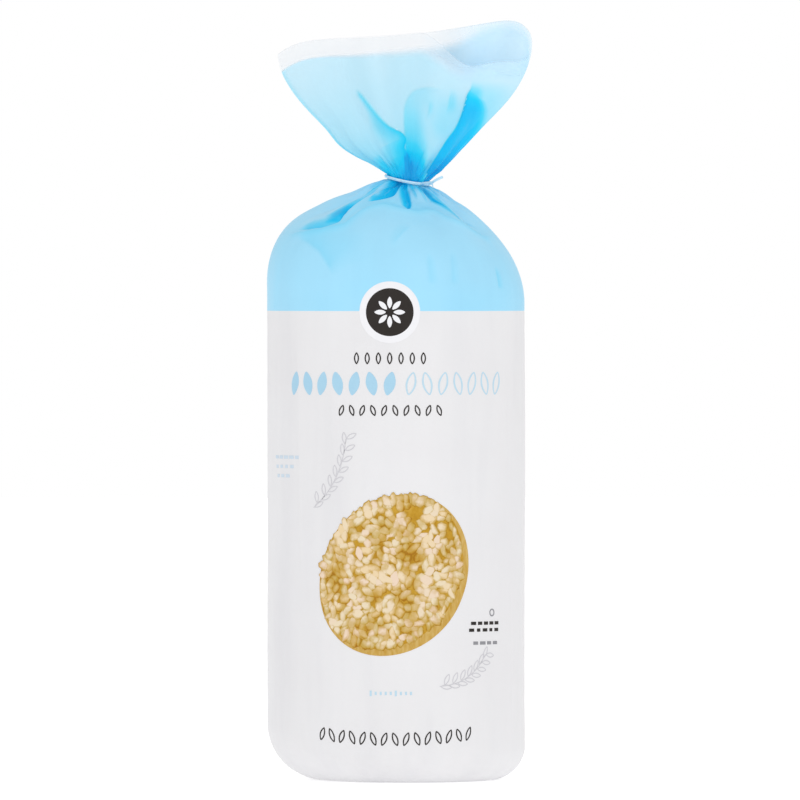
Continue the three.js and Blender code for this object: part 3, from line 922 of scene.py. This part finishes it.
def path_object(name, points, facing):
    """A line of vertices for a node tree to follow, with the way that each faces."""
    edges = [(i, i + 1) for i in range(len(points) - 1)]
    mesh = new_mesh(name, points.tolist(), edges, [])
    kept = mesh.attributes.new("facing", "FLOAT_VECTOR", "POINT")
    kept.data.foreach_set("vector", facing.astype(np.float32).ravel())
    return new_object(name, mesh)


# ---------------------------------------------------------------- the twist tie

TIE_WIDTH, TIE_THICKNESS, TIE_CORE = 1.05, 0.2, 0.24
TIE_GAP, TIE_SLACK, TIE_WAVE = 0.62, 0.1, 0.18
TAIL_ANGLE, TAIL_SLOPE = math.radians(-55), 0.05
TAIL_START, TAIL_LENGTH, TAIL_TURNS, TWIST_RADIUS = 0.9, 6, 2, 0.4
END_LENGTH, END_SPREAD, END_RISE = 4.2, 2.0, 1.95


def tie_path():
    """The wire's way in and how it faces: a free end, the twist, round the neck, and back out."""
    band = NECK_RADIUS + TIE_GAP
    out = np.array([math.cos(TAIL_ANGLE), math.sin(TAIL_ANGLE), TAIL_SLOPE])
    out /= np.linalg.norm(out)
    side = np.array([-math.sin(TAIL_ANGLE), math.cos(TAIL_ANGLE), 0])
    up = np.cross(out, side)
    root = np.array([NECK_OFFSET + band * math.cos(TAIL_ANGLE), band * math.sin(TAIL_ANGLE), 0])
    root[2] = groove_height(TAIL_ANGLE)

    def strand(phase, way):
        """From the neck outwards: where it runs, and how its flat side faces."""
        run, face = [], []
        for t in np.linspace(0, 1, 41):
            turn = phase + t * TAIL_TURNS * TAU
            ray = side * math.cos(turn) + up * math.sin(turn)
            opened = TWIST_RADIUS * smooth(-0.15, 0.1, t)
            run.append(root + out * (TAIL_START + t * TAIL_LENGTH) + ray * opened)
            face.append(ray)
        turn = phase + TAIL_TURNS * TAU
        last = face[-1]
        for t in np.linspace(0, 1, 15)[1:]:
            lean = way * (TWIST_RADIUS + END_SPREAD * t * t)
            place = root + out * (TAIL_START + TAIL_LENGTH + END_LENGTH * t) + side * lean
            run.append(place + up * way * END_RISE * t)
            face.append(last + 0.5 * way * up * t)
        return run, face

    first, first_face = strand(0, 1)
    second, second_face = strand(math.pi, -1)
    around = TAIL_ANGLE + np.linspace(0.1, TAU - 0.1, 120)
    radius = band + TIE_SLACK * np.sin(3 * around + 0.4)
    x, y = NECK_OFFSET + radius * np.cos(around), radius * np.sin(around)
    ring = np.stack([x, y, groove_height(around)], 1)
    ring[:, 2] += TIE_WAVE * np.sin(2 * around + 1.2)
    ring_face = np.stack([np.cos(around), np.sin(around), 0 * around], 1)
    run = np.array(first[::-1] + list(ring) + second)
    face = np.array(first_face[::-1] + list(ring_face) + second_face)
    # An even pace and a gentle turn where the twist opens into the band.
    for _ in range(3):
        run[1:-1] = 0.25 * run[:-2] + 0.5 * run[1:-1] + 0.25 * run[2:]
        face[1:-1] = 0.25 * face[:-2] + 0.5 * face[1:-1] + 0.25 * face[2:]
    return (run + (AXIS_X, 0, 0)) * MM, face


def wire_tie(material):
    run, face = tie_path()

    def build(tree, given):
        moved = result(tree, "GeometryNodeMeshToCurve", {0: given["Geometry"]})
        facing = {0: "facing"}
        facing = result(tree, "GeometryNodeInputNamedAttribute", facing, data_type="FLOAT_VECTOR")
        faced = {0: moved, "Normal": facing}
        faced = result(tree, "GeometryNodeSetCurveNormal", faced, mode="FREE")
        flat = result(
            tree, "GeometryNodeCurvePrimitiveQuadrilateral",
            {"Width": given["Thickness"], "Height": given["Width"]}, mode="RECTANGLE",
        )
        flat = result(
            tree, "GeometryNodeFilletCurve",
            {"Curve": flat, "Count": 2, "Radius": times(tree, given["Thickness"], 0.45)},
            mode="POLY",
        )
        core = {"Resolution": 10, "Radius": given["Core"]}
        core = result(tree, "GeometryNodeCurvePrimitiveCircle", core)
        made = []
        for profile in (flat, core):
            inputs = {"Curve": faced, "Profile Curve": profile, "Fill Caps": True}
            made.append(result(tree, "GeometryNodeCurveToMesh", inputs))
        return joined(tree, *made)

    sizes = {"Width": TIE_WIDTH * MM, "Thickness": TIE_THICKNESS * MM, "Core": TIE_CORE * MM}
    return grown("tie_wire", path_object("tie_path", run, face), sizes, material, build)


def tie_finish():
    """Whitish plastic ribbon over a wire, in pale blue-white tones that vary at random."""
    material, tree, output = new_finish("coated_wire")
    place = object_place(tree)
    cloud = noise(tree, place, 420, 3)
    colour = ramp(tree, cloud, tones((168, 218, 244), (200, 232, 248), (226, 242, 250)))
    rough = mapped(tree, cloud, (0.38, 0.55))
    bump = {"Strength": 0.25, "Distance": 0.2 * MM, "Height": cloud}
    bump = result(tree, "ShaderNodeBump", bump)
    skin = plastic(tree, colour, rough, bump, 0.5)
    tree.links.new(skin.outputs[0], output.inputs["Surface"])
    return material


# ---------------------------------------------------------------- the print

# Places on the front of the wrap: millimetres round it from the middle, and up from the floor.
BADGE = (-2.4, 181.1)
BADGE_RADIUS, BADGE_RING = 9.2, 11.8
CAKE, CAKE_TILT = (-0.9, 80.2), 42.6
CAKE_OUTLINE = (33, 28.3)
CAKE_FACE, CAKE_FACE_SHIFT = (31.9, 26.7), (-1.2, 1.3)
# The seam up the back, in millimetres.
SEAM_ACROSS = math.pi * BODY_RADIUS
SEAM_FOOT, SEAM_TOP, SEAM_WIDTH, SEAM_RIB_PITCH = 4.0, 205.0, 11.0, 1.8
# How far off the film ink lies, how deep its skin is rooted, and the grid that it is cut along.
INK_LIFT, INK_ROOT, INK_GRID = 0.09, -0.06, 2.2


class FilmSurface:
    """Finds the film's surface, so that print can lie on it."""

    def __init__(self, piece):
        mesh = piece.data
        verts = [v.co / MM for v in mesh.vertices]
        self.tree = BVHTree.FromPolygons(verts, [tuple(p.vertices) for p in mesh.polygons])

    def at(self, across, up, lift):
        """The film's point so far round the pack and up, in millimetres, lifted off it."""
        angle = across / BODY_RADIUS - math.pi / 2
        out = Vector((math.cos(angle), math.sin(angle), 0))
        start = Vector((AXIS_X, 0, up)) + out * (BODY_RADIUS + 30)
        return (self.tree.ray_cast(start, -out)[0] + out * lift) * MM


def cut_in_strips(bm):
    """Cuts flat shapes along a grid, so that they can bend with the film."""
    for axis, normal in enumerate(((1, 0, 0), (0, 1, 0))):
        low = min(v.co[axis] for v in bm.verts)
        high = max(v.co[axis] for v in bm.verts)
        for line in np.arange(math.ceil(low / INK_GRID) * INK_GRID + 0.013, high, INK_GRID):
            geometry = bm.verts[:] + bm.edges[:] + bm.faces[:]
            place = [line * c for c in normal]
            bmesh.ops.bisect_plane(bm, geom=geometry, plane_co=place, plane_no=normal)


def printed(name, flat, place, surface, material, lift=INK_LIFT, turn=0.0, curve=0.0):
    """Lays flat shapes, in millimetres, on the film as a thin closed skin of ink.

    curve bends a row of them: each rises by curve times the square of its way from the middle.
    """
    bm = bmesh.new()
    bm.from_mesh(flat.data)
    bmesh.ops.remove_doubles(bm, verts=bm.verts, dist=1e-4)
    bmesh.ops.rotate(bm, verts=bm.verts, matrix=Matrix.Rotation(turn, 3, "Z"))
    cut_in_strips(bm)
    bmesh.ops.triangulate(bm, faces=bm.faces)
    bm.verts.index_update()
    count = len(bm.verts)
    verts = []
    for level in (lift, INK_ROOT):
        for vert in bm.verts:
            x, y, _ = vert.co
            verts.append(surface.at(place[0] + x, place[1] + y + curve * x * x, level))
    faces = []
    for face in bm.faces:
        ring = [v.index for v in face.verts]
        if face.normal.z < 0:
            ring.reverse()
        faces += [ring, [i + count for i in reversed(ring)]]
        open_edges = {frozenset(v.index for v in e.verts) for e in face.edges if e.is_boundary}
        for a, b in zip(ring, ring[1:] + ring[:1]):
            if frozenset((a, b)) in open_edges:
                faces.append([b, a, a + count, b + count])
    bm.free()
    bpy.data.objects.remove(flat)
    mesh = new_mesh(name, verts, [], faces)
    mesh.update()
    return finish_piece(new_object(name, mesh), None, material)


def grain_outline(tree, width, height, hollow):
    """A pointed oval; hollow leaves only its outline, that share of its size open."""
    rings = []
    for wide, high in ((1.0, 1.0), (hollow - 0.12, hollow + 0.1)) if hollow else ((1.0, 1.0),):
        ring = result(tree, "GeometryNodeCurvePrimitiveCircle", {"Resolution": 28, "Radius": 0.5})
        place = result(tree, "GeometryNodeInputPosition")
        across, along, _ = add(tree, "ShaderNodeSeparateXYZ", {0: place}).outputs
        pinch = times(tree, times(tree, along, along), 1.5)
        x = times(tree, times(tree, across, minus(tree, 1.0, pinch)), times(tree, width, wide))
        moved = vector(tree, x, times(tree, along, times(tree, height, high)))
        rings.append(result(tree, "GeometryNodeSetPosition", {0: ring, "Position": moved}))
    return result(tree, "GeometryNodeFillCurve", {0: joined(tree, *rings)}, mode="TRIANGLES")


def empty_source(name):
    return new_object(name, bpy.data.meshes.new(name))


def row_of_marks(name, count, pitch, width, height, ink, kind, hollow=0.0, lean=0.0, seed=0):
    """A flat row of grains, ribs, bars or ticks; bars vary in length by seed."""
    def build(tree, given):
        start = times(tree, times(tree, minus(tree, given["Count"], 1.0), -0.5), given["Pitch"])
        line = result(
            tree, "GeometryNodeMeshLine",
            {
                "Count": given["Count"], "Start Location": vector(tree, start),
                "Offset": vector(tree, given["Pitch"]),
            },
        )
        if kind == "grain":
            mark = grain_outline(tree, given["Width"], given["Height"], hollow)
        else:
            sides = {"Width": given["Width"], "Height": given["Height"]}
            outline = result(tree, "GeometryNodeCurvePrimitiveQuadrilateral", sides)
            mark = result(tree, "GeometryNodeFillCurve", {0: outline}, mode="TRIANGLES")
        turned = vector(tree, z=by_turns(tree, given["Lean"]))
        size = (1, 1, 1)
        if kind == "bar":
            size = vector(tree, random_number(tree, 0.55, 1.0, given["Seed"]), 1.0, 1.0)
        elif kind == "tick":
            index = result(tree, "GeometryNodeInputIndex")
            fifth = stepped(tree, "COMPARE", stepped(tree, "MODULO", index, 5.0), 0.0)
            size = vector(tree, 1.0, plus(tree, 0.58, times(tree, fifth, 0.42)), 1.0)
        return set_on(tree, line, mark, Rotation=turned, Scale=size)

    sizes = {"Count": count, "Pitch": pitch, "Width": width, "Height": height}
    sizes |= {"Lean": lean, "Seed": seed}
    return grown(name, empty_source(name), sizes, ink, build)


def ring_of_grains(name, count, radius, width, height, ink):
    """Flat grains set round a point like petals."""
    def build(tree, given):
        round_place = {"Vertices": given["Count"], "Radius": given["Radius"]}
        ring = result(tree, "GeometryNodeMeshCircle", round_place)
        mark = grain_outline(tree, given["Width"], given["Height"], 0)
        index = result(tree, "GeometryNodeInputIndex")
        turn = stepped(tree, "DIVIDE", times(tree, index, TAU), given["Count"])
        turned = vector(tree, z=minus(tree, turn, math.pi / 2))
        return set_on(tree, ring, mark, Rotation=turned)

    sizes = {"Count": count, "Radius": radius, "Width": width, "Height": height}
    return grown(name, empty_source(name), sizes, ink, build)


def flat_disc(name, outer, inner=0.0, count=96):
    """A round field, or a ring where inner is given."""
    turns = np.linspace(0, TAU, count, endpoint=False)
    verts = [(outer * math.cos(a), outer * math.sin(a), 0) for a in turns]
    if inner:
        verts += [(inner * math.cos(a), inner * math.sin(a), 0) for a in turns]
        faces = [(i, (i + 1) % count, (i + 1) % count + count, i + count) for i in range(count)]
    else:
        faces = [range(count)]
    return new_object(name, new_mesh(name, verts, [], faces))


def rice_sprig(name, length, bend, ink):
    """A thin drawn stalk with open grains on both sides."""
    def build(tree, given):
        middle = vector(tree, given["Bend"], times(tree, given["Length"], 0.5))
        end = vector(tree, 0.0, given["Length"])
        stalk = result(
            tree, "GeometryNodeCurveQuadraticBezier",
            {"Resolution": 24, "Start": (0, 0, 0), "Middle": middle, "End": end},
        )
        pen = {"Start": (-0.16, 0, 0), "End": (0.16, 0, 0)}
        pen = result(tree, "GeometryNodeCurvePrimitiveLine", pen)
        level = {0: stalk, "Normal": (1, 0, 0)}
        level = result(tree, "GeometryNodeSetCurveNormal", level, mode="FREE")
        drawn = result(tree, "GeometryNodeCurveToMesh", {"Curve": level, "Profile Curve": pen})
        points = {"Curve": stalk, "Count": 15}
        points = result(tree, "GeometryNodeCurveToPoints", points, mode="COUNT")
        mark = grain_outline(tree, 2.0, 4.6, 0.72)
        mark = result(tree, "GeometryNodeTransform", {0: mark, "Translation": (0, 2.7, 0)})
        turned = vector(tree, z=by_turns(tree, 0.62))
        return joined(tree, drawn, set_on(tree, points, mark, Rotation=turned))

    return grown(name, empty_source(name), {"Length": length, "Bend": bend}, ink, build)


def oval(half_long, half_wide, shift=(0, 0), count=96):
    """Points of the cake's tilted outline, in millimetres."""
    turns = np.linspace(0, TAU, count, endpoint=False)
    long, wide = half_long * np.cos(turns), half_wide * np.sin(turns)
    lean = math.radians(90 - CAKE_TILT)
    x = long * math.cos(lean) - wide * math.sin(lean) + shift[0]
    y = long * math.sin(lean) + wide * math.cos(lean) + shift[1]
    return np.stack([x, y, 0 * x], 1)


def flat_field(name, outline):
    return new_object(name, new_mesh(name, outline.tolist(), [], [range(len(outline))]))


def puffed_grains(name, face, material):
    """Grains scattered over the cake's face and set along its rim, each with a random tint."""
    def build(tree, given):
        def seed(offset):
            return plus(tree, given["Seed"], offset)

        def random_vector(low, high, offset):
            inputs = {0: low, 1: high, "Seed": seed(offset)}
            return result(tree, "FunctionNodeRandomValue", inputs, data_type="FLOAT_VECTOR")

        place = result(tree, "GeometryNodeInputPosition")
        full = mapped(tree, noise(tree, place, 0.22, 1), (0, 1), (0.34, 0.42))
        spread = result(
            tree, "GeometryNodeDistributePointsOnFaces",
            {
                "Mesh": given["Geometry"], "Distance Min": given["Spacing"], "Density Max": 5.0,
                "Density Factor": full, "Seed": given["Seed"],
            },
            distribute_method="POISSON",
        )
        rim = result(tree, "GeometryNodeMeshToCurve", {0: given["Geometry"]})
        rim = {"Curve": rim, "Count": given["Rim grains"]}
        rim = result(tree, "GeometryNodeResampleCurve", rim)
        rim = result(tree, "GeometryNodeCurveToPoints", {"Curve": rim}, mode="EVALUATED")
        shake = random_vector((-0.5, -0.5, 0), (0.5, 0.5, 0), 9)
        rim = result(tree, "GeometryNodeSetPosition", {0: rim, "Offset": shake})
        raised = vector(tree, z=random_number(tree, 0.0, 1.6, seed(1)))
        points = {0: joined(tree, spread, rim), "Offset": raised}
        points = result(tree, "GeometryNodeSetPosition", points)

        ball = {"Segments": 8, "Rings": 6, "Radius": 0.5}
        ball = result(tree, "GeometryNodeMeshUVSphere", ball)
        shape = vector(tree, given["Length"], given["Breadth"], given["Breadth"])
        ball = result(tree, "GeometryNodeTransform", {0: ball, "Scale": shape})
        turned = random_vector((-0.5, -0.5, 0), (0.5, 0.5, TAU), 2)
        size = random_vector((0.62, 0.75, 0.8), (1.2, 1.25, 1.2), 3)
        grains = set_on(tree, points, ball, Rotation=turned, Scale=size)
        tint = random_number(tree, 0.0, 1.0, seed(4))
        grains = result(
            tree, "GeometryNodeStoreNamedAttribute", {0: grains, "Name": "tint", "Value": tint},
            data_type="FLOAT", domain="INSTANCE",
        )
        grains = result(tree, "GeometryNodeRealizeInstances", {0: grains})
        lumps = {"Vector": place, "Scale": 0.42, "Detail": 1}
        lumps = {0: add(tree, "ShaderNodeTexNoise", lumps).outputs["Color"], 1: (0.5, 0.5, 0.5)}
        lumps = {0: result(tree, "ShaderNodeVectorMath", lumps, operation="SUBTRACT"), 3: 2.4}
        lumps = result(tree, "ShaderNodeVectorMath", lumps, operation="SCALE")
        return result(tree, "GeometryNodeSetPosition", {0: grains, "Offset": lumps})

    sizes = {"Spacing": 2.25, "Rim grains": 60, "Length": 5.6, "Breadth": 3.3, "Seed": 7}
    return grown(name, flat_field(name, face), sizes, material, build)


def cake_picture(surface):
    """The pictured cake: a golden side, and a face of grains whose shading is part of the print."""
    side, gaps = cake_side_finish(), cake_gap_finish()
    printed("print_cake_side", flat_field("side", oval(*CAKE_OUTLINE)), CAKE, surface, side, 0.1)
    face = oval(*CAKE_FACE, CAKE_FACE_SHIFT)
    printed("print_cake_face", flat_field("face", face), CAKE, surface, gaps, 0.13)
    inner = oval(CAKE_FACE[0] - 1.5, CAKE_FACE[1] - 1.5, CAKE_FACE_SHIFT)
    grains = puffed_grains("print_cake_grains", inner, cake_grain_finish())
    mesh = grains.data
    count = len(mesh.vertices)
    verts, normals = np.empty(count * 3), np.empty(count * 3)
    mesh.vertices.foreach_get("co", verts)
    mesh.vertices.foreach_get("normal", normals)
    verts, normals = verts.reshape(-1, 3), normals.reshape(-1, 3)
    light = np.array([-0.4, 0.5, 0.77])
    shade = 0.36 * smooth(-0.1, 0.9, normals[:, 2]) + 0.26 * np.clip(normals @ light, 0, 1)
    shade = shade + 0.38 * smooth(0.2, 3.2, verts[:, 2])
    keep_values(mesh, "shade", np.clip(shade, 0, 1))
    placed = [surface.at(CAKE[0] + x, CAKE[1] + y, 0.15 + 0.04 * z) for x, y, z in verts]
    mesh.vertices.foreach_set("co", np.array(placed).ravel())
    mesh.update()
    finish_piece(grains, None)


def pictured_finish(name, colour_of):
    """Printed food: colour_of draws its colour from the place and a fine grain."""
    material, tree, output = new_finish(name)
    place = object_place(tree)
    fine = noise(tree, place, 620, 3)
    rough = mapped(tree, fine, (0.36, 0.5))
    skin = plastic(tree, colour_of(tree, place, fine), rough, crinkle(tree, place, 0.1))
    tree.links.new(skin.outputs[0], output.inputs["Surface"])
    return material


def cake_grain_finish():
    def colour_of(tree, place, fine):
        shade, tint = attribute(tree, "shade"), attribute(tree, "tint")
        broad = noise(tree, place, 120, 2)
        for value, middle, size in ((fine, 0.5, 0.45), (tint, 0.55, 0.2), (broad, 0.5, 1.9)):
            shade = plus(tree, shade, swing(tree, value, middle, size))
        body = tones(
            (166, 116, 10), (187, 147, 48), (199, 169, 97), (213, 188, 141), (233, 217, 194),
        )
        cast = tones((253, 242, 214), (255, 250, 238), (252, 252, 244), (255, 246, 246))
        return blended(tree, 1.0, ramp(tree, shade, body), ramp(tree, tint, cast), "MULTIPLY")

    return pictured_finish("pictured_grains", colour_of)


def cake_gap_finish():
    def colour_of(tree, place, fine):
        mixed = plus(tree, noise(tree, place, 150, 4, 0.6), swing(tree, fine, 0.5, 0.6))
        gold = tones(
            (152, 100, 4), (172, 122, 14), (190, 144, 34), (203, 161, 60), (214, 178, 100),
        )
        return ramp(tree, mixed, gold)

    return pictured_finish("pictured_gaps", colour_of)


def cake_side_finish():
    def colour_of(tree, place, fine):
        thin = result(tree, "ShaderNodeMapping", {"Vector": place, "Scale": (900, 900, 260)})
        crust = tones((166, 120, 30), (192, 150, 62), (206, 173, 100), (224, 200, 146))
        return ramp(tree, noise(tree, thin, 1.0, 3), crust)

    return pictured_finish("pictured_side", colour_of)


def back_seam(surface, film):
    """The overlap up the pack's back: a doubled strip of film, heat-sealed in fine ribs."""
    place = (SEAM_ACROSS, (SEAM_FOOT + SEAM_TOP) / 2)
    x, y = SEAM_WIDTH / 2, (SEAM_TOP - SEAM_FOOT) / 2
    strip = flat_field("strip", np.array([(-x, -y, 0), (x, -y, 0), (x, y, 0), (-x, y, 0)]))
    count = int((SEAM_TOP - SEAM_FOOT - 6) / SEAM_RIB_PITCH)
    ribs = row_of_marks("ribs", count, SEAM_RIB_PITCH, 0.8, SEAM_WIDTH - 3.4, film, "rib")
    for piece in (
        printed("back_seam", strip, place, surface, film, 0.3),
        printed("back_seam_ribs", ribs, place, surface, film, 0.5, math.pi / 2),
    ):
        keep_values(piece.data, "layers", np.full(len(piece.data.vertices), 0.4))


def front_print(surface):
    white = ink_finish("white_ink", tone(240, 240, 243), tone(233, 233, 237))
    dark = ink_finish("dark_ink", tone(46, 41, 37), tone(36, 31, 29))
    grey = ink_finish("grey_ink", tone(150, 150, 154), tone(138, 138, 143))
    pale = ink_finish("pale_ink", tone(209, 208, 212), tone(202, 201, 206))
    blue = ink_finish("light_blue_ink", tone(172, 211, 232), tone(162, 204, 228))
    thin_blue = ink_finish("thin_blue_ink", tone(190, 219, 234), tone(182, 213, 230))
    faint_blue = ink_finish("faint_blue_ink", tone(206, 220, 232), tone(199, 214, 227))

    ring = flat_disc("ring", BADGE_RING, BADGE_RADIUS - 0.3)
    printed("print_badge_ring", ring, BADGE, surface, white, 0.08)
    printed("print_badge", flat_disc("badge", BADGE_RADIUS), BADGE, surface, dark, 0.1)
    petals = ring_of_grains("petals", 8, 3.7, 1.9, 4.4, white)
    printed("print_badge_grains", petals, BADGE, surface, white, 0.16)

    rows = (
        # name, place, count, pitch, width, height, ink, kind, hollow, lean, curve
        ("print_row_top", (-2.4, 163.4), 7, 4.35, 2.1, 4.6, dark, "grain", 0.62, 0.0, 0),
        ("print_row_full", (-23.4, 153.7), 7, 7.0, 4.4, 9.2, blue, "grain", 0.0, 0.22, 0),
        ("print_row_open", (25, 153.7), 7, 6.4, 4.0, 9.0, thin_blue, "grain", 0.78, 0.22, 0),
        ("print_row_middle", (-2.4, 143.4), 10, 4.3, 2.1, 4.5, dark, "grain", 0.62, 0.35, 0),
        ("print_row_low", (-2, 34.9), 9, 1.95, 0.75, 2.1, thin_blue, "tick", 0.0, 0.0, 0),
        ("print_row_bottom", (-0.3, 17.3), 15, 4.25, 2.3, 5.5, dark, "grain", 0.66, 0.35, 0.0021),
    )
    for name, place, count, pitch, width, height, ink, kind, hollow, lean, curve in rows:
        marks = row_of_marks(name + "_flat", count, pitch, width, height, ink, kind, hollow, lean)
        printed(name, marks, place, surface, ink, curve=curve)
    bars = (
        # name, place, count, pitch, ink
        ("print_bars_left_0", (-50.6, 125.2), 5, 3.7, faint_blue),
        ("print_bars_left_1", (-52.1, 121.6), 4, 3.7, faint_blue),
        ("print_bars_left_2", (-53.1, 118), 3, 3.7, faint_blue),
        ("print_bars_right_3", (38.4, 61.5), 5, 3.2, dark),
        ("print_bars_right_4", (37.9, 58.9), 5, 3.4, dark),
        ("print_bars_right_5", (38.4, 53.9), 4, 3.6, grey),
    )
    for i, (name, place, count, pitch, ink) in enumerate(bars):
        marks = row_of_marks(name + "_flat", count, pitch, pitch - 0.7, 1.25, ink, "bar", seed=i)
        printed(name, marks, place, surface, ink)
    printed("print_dot", flat_disc("dot", 1.5, 1.0, 24), (41.9, 65.5), surface, grey)
    sprigs = (
        # name, length, bend, place, turn
        ("print_sprig_upper", 30, 7.0, (-34.4, 106), -0.5),
        ("print_sprig_lower", 24, 6.0, (17.2, 37.5), -1.05),
    )
    for name, length, bend, place, turn in sprigs:
        sprig = rice_sprig(name + "_flat", length, bend, pale)
        printed(name, sprig, place, surface, pale, 0.08, turn)
    cake_picture(surface)


# ---------------------------------------------------------------- camera, light and floor

# In metres and degrees.
CAMERA_PLACE, CAMERA_AIM, CAMERA_ANGLE = (0.0002, -5, 0.2), (0.0002, 0, 0.1469), 3.548
LAMP_AIM = (0, 0, 0.14)
LAMPS = (
    # name, place, size, power
    ("key", (0.9, -1.5, 1.3), 0.9, 5),
    ("fill", (-1.2, -1.2, 0.6), 1.2, 2),
)
FLOOR_RADIUS = 6


def stand(name, data, place, aim):
    """Sets a camera or a lamp at its place, turned towards its aim."""
    thing = new_object(name, data)
    thing.location = place
    thing.rotation_euler = (Vector(aim) - Vector(place)).to_track_quat("-Z", "Y").to_euler()
    return thing


def strength(tree, lighting, shown):
    """One strength for the light that falls on the pack, another for what the camera sees."""
    seen = add(tree, "ShaderNodeLightPath").outputs["Is Camera Ray"]
    return mapped(tree, seen, (lighting, shown))


def studio():
    camera = bpy.data.cameras.new("camera")
    camera.sensor_fit = "HORIZONTAL"
    camera.angle = math.radians(CAMERA_ANGLE)
    camera.clip_end = 50
    bpy.context.scene.camera = stand("camera", camera, CAMERA_PLACE, CAMERA_AIM)

    world = bpy.data.worlds.new("studio")
    world.use_nodes = True
    background = world.node_tree.nodes["Background"]
    background.inputs[0].default_value = (1, 1, 1, 1)
    world.node_tree.links.new(strength(world.node_tree, 0.82, 1.0), background.inputs[1])
    bpy.context.scene.world = world
    for name, place, size, power in LAMPS:
        light = bpy.data.lights.new(name, "AREA")
        light.size, light.energy = size, power
        stand(name, light, place, LAMP_AIM)

    floor = flat_disc("floor", FLOOR_RADIUS, count=64)
    material, tree, output = new_finish("pale_floor")
    matt = result(tree, "ShaderNodeBsdfDiffuse", {"Color": (0.75, 0.75, 0.75, 1)})
    glow = {"Color": (1, 1, 1, 1), "Strength": strength(tree, 0.43, 0.5)}
    glow = result(tree, "ShaderNodeEmission", glow)
    both = result(tree, "ShaderNodeAddShader", {0: matt, 1: glow})
    tree.links.new(both, output.inputs["Surface"])
    floor.data.materials.append(material)
    view = bpy.context.scene.view_settings
    view.view_transform, view.look, view.exposure, view.gamma = "Standard", "None", 0, 1


studio()
wrap_film = film_finish("printed_film", False)
wrap = finish_piece(film_wrap(), "bag", wrap_film)
finish_piece(film_fan(), "bag", film_finish("loose_film", True))
finish_piece(wire_tie(tie_finish()), "twist_tie")
surface = FilmSurface(wrap)
back_seam(surface, wrap_film)
front_print(surface)
